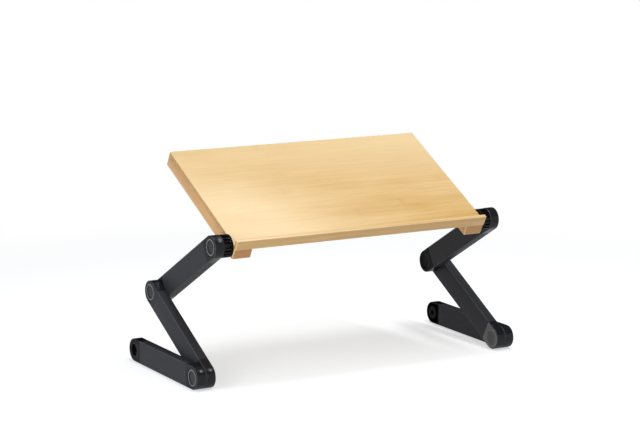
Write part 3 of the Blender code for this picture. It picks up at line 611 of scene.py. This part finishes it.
def round_ring(radius, z, around):
    """Circle of one radius, or of a radius for each angle"""
    return np.column_stack([radius * np.cos(around), radius * np.sin(around), np.full(len(around), z)])


def lathe(profile, around):
    """Solid turned about Z from steps up its outside, each a radius, a height and perhaps an edge weight"""
    return [worn_and_highlit(round_ring(radius, z, around), sum(weight)) for radius, z, *weight in profile]


def cap_angles():
    """Angles for a cap, with its two corners at the shoulder"""
    corner = math.atan2(HALF_WIDTH, SHOULDER)
    return angles((corner, -corner))


def cap_ring(inset, z, around, end_inset=0.0):
    """Outline of a cap: a half circle of HALF_WIDTH for x < 0, carried on by straight sides to the shoulder.
    An inset draws it in all round but at the shoulder, which end_inset moves."""
    cosine, sine = np.cos(around), np.sin(around)
    side = HALF_WIDTH / np.maximum(np.abs(sine), 1e-9)
    end = SHOULDER / np.maximum(cosine, 1e-9)
    radius = np.where(cosine <= 0, HALF_WIDTH, np.minimum(side, end))
    x, y = radius * cosine, radius * sine
    shrink = (HALF_WIDTH - inset) / HALF_WIDTH
    x = np.where(x < 0, x * shrink, x * (SHOULDER - end_inset) / SHOULDER)
    return np.column_stack([x, y * shrink, np.full(len(x), z)])


def toothed_radius(around, root, tip, widening=0.0):
    """Radius at each angle of a toothed disc: tip over the middle of a tooth, root between, and flanks
    that run straight between the two"""
    step = TURN / GEAR_TEETH
    off = np.abs(np.mod(around + step / 2, step) - step / 2)
    half_tip = step * 0.36 / 2 + widening
    half_root = step * 0.56 / 2 + widening
    return np.interp(off, [half_tip, half_root], [tip, root])


def cap_wall(around, bottom, top):
    """Rings up the outside of a cap, with both its edges rounded. Its side is polished, and less so as the
    edges turn into the matt faces."""
    sizes = bpy.context.scene.bed_table_legs
    bend = quarter(sizes.edge, sizes.edge_steps)
    lower = [worn_and_highlit(cap_ring(inset, bottom + sizes.edge - rise, around), weight, 1 - inset / sizes.edge)
             for inset, rise, weight in bend[::-1]]
    upper = [worn_and_highlit(cap_ring(inset, top - sizes.edge + rise, around), weight, 1 - inset / sizes.edge)
             for inset, rise, weight in bend]
    return lower + upper


def rounded_box_ring(half_x, half_y, radius, steps=4):
    """Outline of a rectangle about the origin with round corners, anticlockwise"""
    swing = np.linspace(0, math.pi / 2, steps + 1)
    corners = []
    for number, (sx, sy) in enumerate(((1, 1), (-1, 1), (-1, -1), (1, -1))):
        turn = swing + number * math.pi / 2
        x = sx * (half_x - radius) + radius * np.cos(turn)
        y = sy * (half_y - radius) + radius * np.sin(turn)
        corners.append(np.column_stack([x, y]))
    return np.vstack(corners)


def tongue(middle):
    """Hollow tongue of a cap in the tube's end: a box outside, a box inside, closed at the shoulder"""
    edge = bpy.context.scene.bed_table_legs.edge
    half_y = HALF_WIDTH - TUBE_WALL - SEAT_GAP
    half_z = THICKNESS / 2 - TUBE_WALL - SEAT_GAP
    outer = rounded_box_ring(half_y, half_z, edge)
    inner = rounded_box_ring(half_y - TONGUE_WALL, half_z - TONGUE_WALL, edge / 2)
    end = SHOULDER + TONGUE_LENGTH
    spans = ((outer, SHOULDER - TONGUE_WALL), (outer, end), (inner, end), (inner, SHOULDER + TONGUE_WALL))
    rings = [np.column_stack([np.full(len(ring), x), ring[:, 0], ring[:, 1] + middle]) for ring, x in spans]
    return lofted(rings)


def windowed(radii, around, solid, bottom, top):
    """Flat plate of cells between radii and angles. solid says which cells are filled. Every filled cell has
    a top and a bottom, and a wall where its neighbour is empty."""
    rows, columns = len(radii), len(around)
    flat = np.stack([np.outer(radii, np.cos(around)), np.outer(radii, np.sin(around))], -1).reshape(-1, 2)
    points = np.vstack([level(flat, bottom), level(flat, top)])
    low = np.arange(rows * columns).reshape(rows, columns)
    high = low + rows * columns
    ahead = np.roll(low, -1, 1)
    ahead_high = np.roll(high, -1, 1)
    tops = np.stack([high[:-1], high[1:], ahead_high[1:], ahead_high[:-1]], -1)[solid]
    bottoms = np.stack([low[:-1], ahead[:-1], ahead[1:], low[1:]], -1)[solid]
    rims = np.vstack([np.zeros((1, columns), bool), solid, np.zeros((1, columns), bool)])
    edge = rims[1:] != rims[:-1]
    walls = np.stack([low, ahead, ahead_high, high], -1)[edge]
    gate = solid != np.roll(solid, 1, 1)
    posts = np.stack([low[:-1], low[1:], high[1:], high[:-1]], -1)[gate]
    return worn_and_highlit(points, 0.0), np.vstack([tops, bottoms, walls, posts]).tolist()


def web():
    """Web of an outer housing: a disc with the bolt's hole and three windows for the button's posts"""
    around = angles()
    radii = np.array([BOLT_HOLE, BOSS_RADIUS + 0.003, 0.0077, 0.0098, 0.0104])
    off = np.abs(np.mod(around + TURN / 720 + TURN / 6, TURN / 3) - TURN / 6)
    solid = np.ones((len(radii) - 1, len(around)), bool)
    solid[2] = off > math.radians(20)
    return windowed(radii, around, solid, WEB_BOTTOM + 0.00005, WEB_TOP - 0.00005)


def pocket_rim(radius, around):
    """Rings of the rounded rim where a round pocket opens in a cap's face"""
    edge = bpy.context.scene.bed_table_legs.pocket_edge
    bend = quarter(edge, 4)[::-1]
    return lathe([(radius + inset, FACE - edge + rise, weight) for inset, rise, weight in bend], around)


def outer_cap_shell():
    """Outer housing: rounded cap with a button pocket, a ledge that carries the web, and a toothed recess"""
    around = cap_angles()
    tip = GEAR_TIP + RUNNING_GAP
    pocket = BUTTON_RADIUS + RUNNING_GAP
    recess = toothed_radius(around, tip, tip + 0.0012, RUNNING_GAP / tip)
    rings = cap_wall(around, HALF_GAP, FACE) + pocket_rim(pocket, around)
    rings += lathe([(pocket, WEB_TOP), (0.0102, WEB_TOP), (0.0102, WEB_BOTTOM)], around)
    rings += [round_ring(recess, WEB_BOTTOM, around), round_ring(recess, HALF_GAP, around)]
    return together(lofted(rings, wrap=True), web(), tongue(MIDDLE))


def bore_rings(around):
    """Rings down the toothed bore of an inner housing, up its boss and down the bolt's hole"""
    root = GEAR_ROOT + RUNNING_GAP
    bore = toothed_radius(around, root, GEAR_TIP + RUNNING_GAP, RUNNING_GAP / root)
    return [
        round_ring(bore, -HALF_GAP, around),
        round_ring(bore, BORE_FLOOR, around),
        *lathe([(BOSS_RADIUS, BORE_FLOOR), (BOSS_RADIUS, BOSS_TOP), (BOLT_HOLE, BOSS_TOP)], around),
        round_ring(BOLT_HOLE, BOLT_END - RUNNING_GAP, around),
    ]


def inner_cap_shell(painted_sheen=0.0):
    """Inner housing: rounded cap with a toothed bore, and a shallow dish in its closed back. Its last
    argument says how much paler the back is drawn as a painted highlight, less so in the dish."""
    around = cap_angles()
    share = np.linspace(0, 1, 7)
    swell = 3 * share**2 - 2 * share**3
    # Dish and rim weights set how much paler the back is drawn: a painted highlight.
    dish = [(DISH_RADIUS - 0.0030 * (1 - s), -FACE + DISH_DEPTH * (1 - w), painted_sheen * (0.6 + 0.4 * w))
            for s, w in zip(share, swell)]
    edge = bpy.context.scene.bed_table_legs.edge
    rim = worn_and_highlit(cap_ring(edge + 0.0003, -FACE, around), painted_sheen)
    rings = lathe(dish, around) + [rim] + cap_wall(around, -FACE, -HALF_GAP) + bore_rings(around)
    return together(lofted(rings), tongue(-MIDDLE))


def foot_cap_shell():
    """Inner housing at the foot, whose back carries a painted highlight"""
    return inner_cap_shell(2.5)


def rear_cap_shell():
    """Cap at the foot's free end: a shallow round pocket outside, a small hole, and a boss inside"""
    around = cap_angles()
    rings = cap_wall(around, HALF_GAP, FACE) + pocket_rim(REAR_POCKET, around)
    rings += lathe([(REAR_POCKET, REAR_POCKET_FLOOR), (REAR_BORE, REAR_POCKET_FLOOR), (REAR_BORE, HALF_GAP),
                    (REAR_BOSS, HALF_GAP), (REAR_BOSS, REAR_FLOOR)], around)
    rings += [cap_ring(REAR_RIM, z, around, REAR_RIM) for z in (REAR_FLOOR, HALF_GAP)]
    return together(lofted(rings, wrap=True), tongue(MIDDLE))


def hub_shell():
    """Hub: a flange against the tray, then a crown with slots round its rim, over a toothed bore"""
    half = TURN / HUB_SLOTS * 0.55 / 2
    middles = (np.arange(HUB_SLOTS) + 0.5) * TURN / HUB_SLOTS
    sliver = 0.0006
    edges = [middles + sign * (half + shift) for sign in (-1, 1) for shift in (-sliver, sliver)]
    around = angles(np.concatenate(edges))
    off = np.abs(np.mod(around, TURN / HUB_SLOTS) - TURN / HUB_SLOTS / 2)
    slotted = np.interp(off, [half - sliver, half + sliver], [HUB_RADIUS - HUB_GROOVE, HUB_RADIUS])
    edge = 0.0005
    ledge = HUB_BACK + HUB_FLANGE
    bend = quarter(edge, 3)
    flange = [(HUB_RADIUS - inset, HUB_BACK + edge - rise, weight) for inset, rise, weight in bend[::-1]]
    rings = lathe([*flange, (HUB_RADIUS, ledge)], around)
    rings.append(worn_and_highlit(round_ring(slotted, ledge, around), 0.0, 1.0))
    rings += [worn_and_highlit(round_ring(slotted - inset, -HALF_GAP - edge + rise, around), weight, 1.0)
              for inset, rise, weight in bend]
    return lofted(rings + bore_rings(around))


def tube_shell():
    """Flat tube: one rounded outline outside and one inside, carried straight from end to end"""
    sizes = bpy.context.scene.bed_table_legs
    steps = sizes.edge_steps
    outer = rounded_box_ring(HALF_WIDTH, THICKNESS / 2, sizes.edge, steps)
    slim = rounded_box_ring(HALF_WIDTH - 0.00015, THICKNESS / 2 - 0.00015, sizes.edge, steps)
    inner = rounded_box_ring(HALF_WIDTH - TUBE_WALL, THICKNESS / 2 - TUBE_WALL, sizes.edge / 2, steps)
    start = SHOULDER + SEAT_GAP
    end = link_length() - start
    weights = np.tile(quarter(sizes.edge, steps)[:, 2], 4)
    spans = ((slim, start, weights), (outer, start + 0.00015, weights), (outer, end - 0.00015, weights),
             (slim, end, weights), (inner, end, 0.0), (inner, start, 0.0))
    rings = [worn_and_highlit(np.column_stack([np.full(len(ring), x), ring[:, 0], ring[:, 1] + MIDDLE]), weight)
             for ring, x, weight in spans]
    return lofted(rings, wrap=True)


def prism(outline, half_width):
    """An (X, Z) outline carried across Y"""
    outline = np.asarray(outline, float)
    rings = [np.column_stack([outline[:, 0], np.full(len(outline), y), outline[:, 1]])
             for y in (-half_width, half_width)]
    return lofted(rings)


def button_rim(around):
    """Rings over a button's grip rim: an arch from its outside to the dish, of height h sin(pi s)^0.6 for s
    across the rim, with ridges that rise with cos(n angle) for n ridges, and paler along the rim and its
    crests as a painted highlight and as rubbing"""
    sizes = bpy.context.scene.bed_table_legs
    share = np.linspace(0, 1, 13)
    arch = 0.0006 * np.sin(math.pi * share) ** 0.6
    crest = np.cos(sizes.button_ridges * around)
    low = BUTTON_TOP - 0.0006
    rings = []
    for s, rise in zip(share, arch):
        ring = round_ring(BUTTON_RADIUS + (BUTTON_DISH - BUTTON_RADIUS) * s, low + rise, around)
        ring[:, 2] += 0.00022 * (crest - 1) * math.sin(math.pi * s)
        # Paler toward the middle of the rim and on the ridge crests: a painted highlight, with rubbing.
        rings.append(worn_and_highlit(ring, math.sin(math.pi * s) ** 2 * (0.65 + 0.35 * crest)))
    return rings


def button_shell():
    """Push button: a cup with a ridged rim round a deep dish, and three hooked posts under its plate"""
    sizes = bpy.context.scene.bed_table_legs
    count = sizes.button_ridges * 8
    around = np.arange(count) * TURN / count
    deep = BUTTON_TOP - sizes.button_dish
    well = BUTTON_DISH - 0.0005
    wall = [(well, deep + 0.0004), (well - 0.00015, deep + 0.00012), (well - 0.0005, deep)]
    floor = [(well * s, deep + 0.0003 * (1 - s**2)) for s in (0.9, 0.8, 0.6, 0.4, 0.2, 0.02)]
    inside = BUTTON_RADIUS - 0.0016
    profile = [(0.0002, PLATE_BOTTOM), (inside, PLATE_BOTTOM), (inside, SKIRT_BOTTOM),
               (BUTTON_RADIUS, SKIRT_BOTTOM)]
    cup = lofted(lathe(profile, around) + button_rim(around) + lathe(wall + floor, around))
    near, far = 0.0080, 0.0095
    root = PLATE_BOTTOM + 0.0003
    catch = HOOK_BOTTOM + 0.0007
    barb = far + 0.0009
    hook = [(near, HOOK_BOTTOM), (barb, HOOK_BOTTOM), (barb, catch), (far, catch), (far, root), (near, root)]
    post = prism(hook, 0.0025)
    posts = [turned_by(post, Matrix.Rotation(TURN * number / 3, 4, "Z")) for number in range(3)]
    return together(cup, *posts)


def gear_shell():
    """Lock gear: a toothed disc with broken edges and a round bore"""
    around = angles()
    edge = 0.0003
    full = toothed_radius(around, GEAR_ROOT, GEAR_TIP)
    rings = [round_ring(full - edge, GEAR_BOTTOM, around), round_ring(full, GEAR_BOTTOM + edge, around)]
    rings += [round_ring(full, GEAR_TOP - edge, around), round_ring(full - edge, GEAR_TOP, around)]
    rings += lathe([(BOLT_HOLE + edge, GEAR_TOP), (BOLT_HOLE, GEAR_TOP - edge)], around)
    rings += lathe([(BOLT_HOLE, GEAR_BOTTOM + edge), (BOLT_HOLE + edge, GEAR_BOTTOM)], around)
    return lofted(rings, wrap=True)


def spring_shell():
    """Round wire along a helix: for each point of the helix, a circle in its radial and upward directions"""
    wire = SPRING_WIRE / 2
    low = BORE_FLOOR + SEAT_GAP + wire
    high = GEAR_BOTTOM - SEAT_GAP - wire
    turn = np.linspace(0, TURN * SPRING_TURNS, 40 * SPRING_TURNS + 1)
    radial = np.column_stack([np.cos(turn), np.sin(turn), np.zeros(len(turn))])
    path = radial * SPRING_RADIUS
    path[:, 2] = np.linspace(low, high, len(turn))
    swing = np.arange(12) * TURN / 12
    upward = np.array([0.0, 0.0, 1.0])
    rings = path[:, None] + wire * (np.cos(swing)[None, :, None] * radial[:, None]
                                    + np.sin(swing)[None, :, None] * upward)
    return lofted(rings)


def polygon_radius(around, sides, corner):
    """Radius at each angle of a regular polygon with the given corner radius"""
    step = TURN / sides
    off = np.mod(around + step / 2, step) - step / 2
    return corner * math.cos(step / 2) / np.cos(np.abs(np.abs(off) - step / 2))


def bolt_shell():
    """Pivot bolt: a plain shank and a low round head with a six-sided socket"""
    around = angles()
    soft = [(0.0042 - inset, HEAD_TOP - 0.0005 + rise) for inset, rise, _ in quarter(0.0005, 3)]
    profile = [(BOLT_RADIUS - 0.0004, BOLT_END), (BOLT_RADIUS, BOLT_END + 0.0004), (BOLT_RADIUS, HEAD_BOTTOM),
               (0.0042, HEAD_BOTTOM), *soft]
    socket = polygon_radius(around, 6, 0.0016)
    rings = lathe(profile, around)
    return lofted(rings + [round_ring(socket, z, around) for z in (HEAD_TOP, HEAD_TOP - 0.0012)])


def cross_radius(around, half, reach):
    """Radius at each angle of a cross with arms of one half width and one reach"""
    off = np.abs(np.mod(around + TURN / 8, TURN / 4) - TURN / 8)
    arm = reach / np.cos(off)
    flank = half / np.maximum(np.sin(off), 1e-9)
    return np.where(np.tan(off) * reach <= half, arm, flank)


def screw_shell(length, lift=0.0):
    """Countersunk wood screw: a thread of small steps down a taper, and a head with a cross cut in it"""
    around = angles((0.28, TURN / 4 - 0.28, TURN / 4 + 0.28, TURN / 2 - 0.28, TURN / 2 + 0.28,
                     TURN * 3 / 4 - 0.28, TURN * 3 / 4 + 0.28, TURN - 0.28))
    shank, head, cone = 0.0014, 0.0026, 0.0014
    share = np.linspace(0, 1, 61)
    z = -length + share * (length - cone)
    taper = np.minimum(shank, 0.0001 + (z + length) * shank / 0.003)
    ridge = 0.85 + 0.15 * np.abs(np.sin(share * 15 * math.pi))
    profile = list(zip(taper * ridge, z))
    profile += [(shank, -cone), (head, -0.0002), (head, lift - 0.0001), (head - 0.0002, lift)]
    cut = cross_radius(around, 0.00035, 0.0016)
    rings = lathe(profile, around)
    return lofted(rings + [round_ring(cut, lift, around), round_ring(cut * 0.8, lift - 0.0007, around)])


def plank(low, high, edges):
    """Board between two corners. Each ring is a rectangle, drawn in as the edges round over: edges holds the
    radius of its lower and upper edges."""
    low, high = np.array(low), np.array(high)
    middle = (low + high) / 2
    half = (high - low) / 2
    lower, upper = (quarter(radius, 5) for radius in edges)
    plan = max(0.0016, min(edges))
    rings = [(inset, low[2] + edges[0] - rise, weight) for inset, rise, weight in lower[::-1]]
    rings += [(inset, high[2] - edges[1] + rise, weight) for inset, rise, weight in upper]
    corner = np.tile(quarter(plan, 5)[:, 2], 4)
    shells = []
    for inset, z, weight in rings:
        outline = rounded_box_ring(half[0] - inset, half[1] - inset, max(plan - inset, 0.0002), 5)
        shells.append(worn_and_highlit(level(outline + middle[:2], z), np.maximum(corner, weight)))
    return lofted(shells)


class MakePieces(bpy.types.Operator):
    """Shared parts of the operators that make pieces"""

    bl_options = {"REGISTER", "UNDO"}


class MakeTray(MakePieces):
    """Board, front lip and battens of the tray"""

    bl_idname = "bed_table.tray"
    bl_label = "Tray"

    def execute(self, context):
        sizes = context.scene.bed_table_tray
        half = (BOARD_HIGH.x - BOARD_LOW.x) / 2
        top = (BOARD_THICKNESS + BATTEN_HEIGHT) / 2
        under = top - BOARD_THICKNESS
        back = BOARD_DEPTH - AXIS_SETBACK
        lip_back = -AXIS_SETBACK - GLUE_GAP
        lip_front = lip_back - LIP_THICKNESS
        edges = (sizes.edge, sizes.edge)
        board = plank((-half, -AXIS_SETBACK, under), (half, back, top), edges)
        add_piece("board", board, TRAY_FRAME, "bamboo_board")
        lip = plank((-half, lip_front, under), (half, lip_back, top + LIP_RISE), edges)
        add_piece("front_lip", lip, TRAY_FRAME, "bamboo_lip")
        width = BATTEN_HIGH.x - BATTEN_LOW.x
        batten_top = under - GLUE_GAP
        for side, word in SIDES:
            middle = side * (half - width / 2)
            low = (middle - width / 2, lip_front + BATTEN_SETBACK, batten_top - BATTEN_HEIGHT)
            high = (middle + width / 2, back, batten_top)
            shell = plank(low, high, (sizes.batten_edge, 0.0004))
            add_piece(f"batten_{word}", shell, TRAY_FRAME, "bamboo_batten")
        return {"FINISHED"}


class MakeScrews(MakePieces):
    """Wood screws of the battens and hubs"""

    bl_idname = "bed_table.screws"
    bl_label = "Screws"

    def execute(self, context):
        width = BATTEN_HIGH.x - BATTEN_LOW.x
        half = (BOARD_HIGH.x - BOARD_LOW.x) / 2
        front = -AXIS_SETBACK - GLUE_GAP - LIP_THICKNESS + BATTEN_SETBACK + BATTEN_SCREW_INSET
        rear = BOARD_DEPTH - AXIS_SETBACK - BATTEN_SCREW_INSET
        bottom = -(BOARD_THICKNESS + BATTEN_HEIGHT) / 2 - GLUE_GAP
        upward = Matrix.Rotation(math.pi, 4, "X")
        for side, word in SIDES:
            for place, depth in (("front", front), ("rear", rear)):
                spot = Matrix.Translation((side * (half - width / 2), depth, bottom))
                name = f"batten_screw_{place}_{word}"
                screw = screw_shell(BATTEN_SCREW_LENGTH, 0.0003)
                add_piece(name, screw, TRAY_FRAME @ spot @ upward, "screw_steel")
            hub = link_frames(word)["hub", "start"]
            for place, along in (("front", -HUB_SCREW_CIRCLE), ("rear", HUB_SCREW_CIRCLE)):
                spot = Matrix.Translation((along, 0.0, BORE_FLOOR))
                name = f"hub_screw_{place}_{word}"
                screw = screw_shell(HUB_SCREW_LENGTH, 0.0002)
                add_piece(name, screw, hub @ spot, "screw_steel")
        return {"FINISHED"}


class MakeHubs(MakePieces):
    """Slotted hubs at the tray's sides"""

    bl_idname = "bed_table.hubs"
    bl_label = "Hubs"

    def execute(self, context):
        for _, word in SIDES:
            hub = link_frames(word)["hub", "start"]
            add_piece(f"tray_hub_{word}", hub_shell(), hub, "gloss_moulding")
        return {"FINISHED"}


class MakeTubes(MakePieces):
    """Flat tubes of the links"""

    bl_idname = "bed_table.tubes"
    bl_label = "Tubes"

    def execute(self, context):
        for _, word in SIDES:
            frames = link_frames(word)
            for link in ("upper", "middle", "foot"):
                start = frames[f"{link}_link", "start"]
                add_piece(f"{link}_tube_{word}", tube_shell(), start, "anodised_tube")
        return {"FINISHED"}


class MakeCaps(MakePieces):
    """Moulded caps at the ends of the links"""

    bl_idname = "bed_table.caps"
    bl_label = "Caps"

    def execute(self, context):
        kinds = (
            ("upper_top_cap", "upper_link", "start", outer_cap_shell, "satin_moulding"),
            ("upper_knee_cap", "upper_link", "end", inner_cap_shell, "gloss_moulding"),
            ("middle_knee_cap", "middle_link", "start", outer_cap_shell, "satin_moulding"),
            ("middle_foot_cap", "middle_link", "end", foot_cap_shell, "satin_moulding"),
            ("foot_front_cap", "foot_link", "start", outer_cap_shell, "satin_moulding"),
            ("foot_rear_cap", "foot_link", "end", rear_cap_shell, "gloss_moulding"),
        )
        for _, word in SIDES:
            frames = link_frames(word)
            for name, link, end, shell, material in kinds:
                add_piece(f"{name}_{word}", shell(), frames[link, end], material)
        return {"FINISHED"}


class MakeButtons(MakePieces):
    """Push buttons in the outer housings"""

    bl_idname = "bed_table.buttons"
    bl_label = "Buttons"

    def execute(self, context):
        links = {"top": "upper_link", "knee": "middle_link", "foot": "foot_link"}
        for _, word in SIDES:
            frames = link_frames(word)
            for place in PLACES:
                start = frames[links[place], "start"]
                name = f"button_{place}_{word}"
                add_piece(name, button_shell(), start, "button_moulding")
        return {"FINISHED"}


class MakeLocks(MakePieces):
    """Gears, springs and bolts inside the joints, where a pressed gear flattens its spring in the real table.
    Each spring gets a mesh of its own.
    """

    bl_idname = "bed_table.locks"
    bl_label = "Locks"

    def execute(self, context):
        seats = {"top": ("hub", "start"), "knee": ("upper_link", "end"), "foot": ("middle_link", "end")}
        for _, word in SIDES:
            frames = link_frames(word)
            for place in PLACES:
                seat = frames[seats[place]]
                add_piece(f"lock_gear_{place}_{word}", gear_shell(), seat, "gear_steel")
                spring = add_piece(f"lock_spring_{place}_{word}", spring_shell(), seat, "spring_wire")
                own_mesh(spring)
                add_piece(f"pivot_bolt_{place}_{word}", bolt_shell(), seat, "bolt_steel")
        return {"FINISHED"}


def softbox(name, place, target, width, height, power):
    """A rectangular lamp that faces a point"""
    data = bpy.data.lights.new(name, "AREA")
    data.shape = "RECTANGLE"
    data.size = width
    data.size_y = height
    data.energy = power
    lamp = bpy.data.objects.new(name, data)
    lamp.location = place
    lamp.rotation_euler = (Vector(target) - Vector(place)).to_track_quat("-Z", "Y").to_euler()
    bpy.context.scene.collection.objects.link(lamp)
    return lamp


def sheet(name, width, depth, place, material, turn=0.0):
    """A flat sheet of the studio, which isn't part of the table"""
    mesh = bpy.data.meshes.new(name)
    x, y = width / 2, depth / 2
    mesh.from_pydata([(-x, -y, 0.0), (x, -y, 0.0), (x, y, 0.0), (-x, y, 0.0)], [], [(0, 1, 2, 3)])
    mesh.materials.append(material)
    flat = bpy.data.objects.new(name, mesh)
    flat.location = place
    flat.rotation_euler.x = turn
    bpy.context.scene.collection.objects.link(flat)
    return flat


def screen_finish():
    """Dim paint, a little uneven, that only mirrors see"""
    finish = Finish("dim_screen")
    cloud = finish.noise(finish.place(), 3.0)
    base = finish.mix(cloud, (0.015, 0.015, 0.016), (0.030, 0.030, 0.032))
    return finish.surface(Base_Color=base, Roughness=0.9)


def floor_finish(colour):
    """Matt floor. The camera and mirrors see it lifted, so that it is white where nothing shades it, and
    white far out."""
    finish = Finish("pale_floor")
    finish.surface(Base_Color=rgba(colour), Roughness=0.9)
    settings = bpy.context.scene.bed_table_studio
    x, y, _ = finish.parts(finish.add("ShaderNodeTexCoord", result="Object"))
    far = (x * x + y * y).step(settings.near**2, settings.far**2)
    seen = finish.rays("Is Camera Ray", "Is Glossy Ray", "Is Transmission Ray")
    matt = Value(finish, finish.shader.outputs[0])
    cool = (0.98, 1.0, 1.02, 1.0)
    lift = finish.add("ShaderNodeEmission", sockets={"Color": cool, "Strength": settings.lift})
    lifted = finish.add("ShaderNodeAddShader", sockets={0: matt, 1: lift})
    near = finish.add("ShaderNodeMixShader", sockets={0: seen, 1: matt, 2: lifted})
    white = finish.add("ShaderNodeEmission", sockets={"Color": WHITE, "Strength": 1.0})
    every = finish.add("ShaderNodeMixShader", sockets={0: far * seen, 1: near, 2: white})
    finish.feed(finish.tree.nodes["Material Output"].inputs["Surface"], every)
    return finish.owner


def studio_world():
    """White to the camera and in every mirror, and a dimmer room as far as it lights matt surfaces"""
    finish = Finish("studio", bpy.data.worlds)
    bpy.context.scene.world = finish.owner
    room = finish.tree.nodes["Background"]
    room.inputs["Color"].default_value = WHITE
    room.inputs["Strength"].default_value = bpy.context.scene.bed_table_studio.room
    white = finish.add("ShaderNodeBackground", sockets={"Color": WHITE, "Strength": 1.0})
    seen = finish.rays("Is Camera Ray", "Is Glossy Ray", "Is Transmission Ray")
    sockets = {0: seen, 1: Value(finish, room.outputs[0]), 2: white}
    every = finish.add("ShaderNodeMixShader", sockets=sockets)
    finish.feed(finish.tree.nodes["World Output"].inputs["Surface"], every)


class SetStudio(bpy.types.Operator):
    """Floor, soft lamps, white surroundings and the camera"""

    bl_idname = "bed_table.studio"
    bl_label = "Studio"

    def execute(self, context):
        settings = context.scene.bed_table_studio
        sheet("studio_floor", 12.0, 12.0, (0.0, 0.0, -0.0004), floor_finish(settings.floor))
        dim = screen_finish()
        ceiling = sheet("studio_ceiling", 8.0, 8.0, (0.0, 0.0, 2.7), dim)
        screen = sheet("studio_screen", 8.0, 2.65, (0.0, 3.5, 1.36), dim, math.pi / 2)
        for flat in (ceiling, screen):
            flat.visible_camera = False
            flat.visible_diffuse = False
            flat.visible_shadow = False
        studio_world()
        softbox("key_lamp", (0.0, 0.01, 2.5), (0.0, 0.0, 0.2), 0.35, 0.55, settings.key)
        softbox("strip_lamp", (0.5, -0.5, 1.5), (0.5, 0.0, 0.2), 0.14, 1.0, settings.strip)
        softbox("sheen_lamp", (0.5, 0.38, 1.5), (0.0, 0.0, 0.25), 0.4, 0.24, settings.sheen)
        softbox("side_lamp", (-1.15, -0.35, 0.55), (0.0, 0.0, 0.2), 0.6, 0.6, settings.side)
        softbox("front_lamp", (-0.6, -1.6, 0.35), (0.0, 0.0, 0.2), 1.0, 0.5, settings.front)
        azimuth, elevation = settings.azimuth, settings.elevation
        forward = Vector((math.sin(azimuth) * math.cos(elevation), math.cos(azimuth) * math.cos(elevation),
                          -math.sin(elevation)))
        right = Vector((math.cos(azimuth), -math.sin(azimuth), 0.0))
        up = right.cross(forward)
        turned_right = right * math.cos(settings.roll) + up * math.sin(settings.roll)
        turned_up = up * math.cos(settings.roll) - right * math.sin(settings.roll)
        data = bpy.data.cameras.new("camera")
        data.lens = settings.lens
        data.sensor_width = 36.0
        data.sensor_fit = "HORIZONTAL"
        data.clip_end = 100.0
        camera = bpy.data.objects.new("camera", data)
        axes = Matrix((turned_right, turned_up, -forward)).transposed().to_4x4()
        axes.translation = Vector(settings.eye)
        camera.matrix_world = axes
        context.scene.collection.objects.link(camera)
        context.scene.camera = camera
        context.scene.view_settings.view_transform = "Standard"
        return {"FINISHED"}


class BedTablePanel(bpy.types.Panel):
    """Operators and settings of the bed table"""

    bl_idname = "VIEW3D_PT_bed_table"
    bl_label = "Laptop Bed Table"
    bl_space_type = "VIEW_3D"
    bl_region_type = "UI"
    bl_category = "Bed Table"

    def draw(self, context):
        for operator in OPERATORS:
            self.layout.operator(operator.bl_idname)
        for name in GROUPS:
            box = self.layout.box()
            group = getattr(context.scene, name)
            for key in group.bl_rna.properties.keys():
                if key not in ("rna_type", "name"):
                    box.prop(group, key)


GROUPS = {
    "bed_table_tray": TraySizes,
    "bed_table_legs": LegSizes,
    "bed_table_colours": TableColours,
    "bed_table_studio": StudioSettings,
}
OPERATORS = (MakeTray, MakeScrews, MakeHubs, MakeTubes, MakeCaps, MakeButtons, MakeLocks, SetStudio)


def register():
    for group in GROUPS.values():
        bpy.utils.register_class(group)
    for name, group in GROUPS.items():
        setattr(bpy.types.Scene, name, PointerProperty(type=group))
    for operator in OPERATORS:
        bpy.utils.register_class(operator)
    bpy.utils.register_class(BedTablePanel)


def unregister():
    bpy.utils.unregister_class(BedTablePanel)
    for operator in reversed(OPERATORS):
        bpy.utils.unregister_class(operator)
    for name in GROUPS:
        delattr(bpy.types.Scene, name)
    for group in reversed(GROUPS.values()):
        bpy.utils.unregister_class(group)


def main():
    register()
    for operator in OPERATORS:
        getattr(bpy.ops.bed_table, operator.bl_idname.split(".")[1])()


if __name__ == "__main__":
    main()
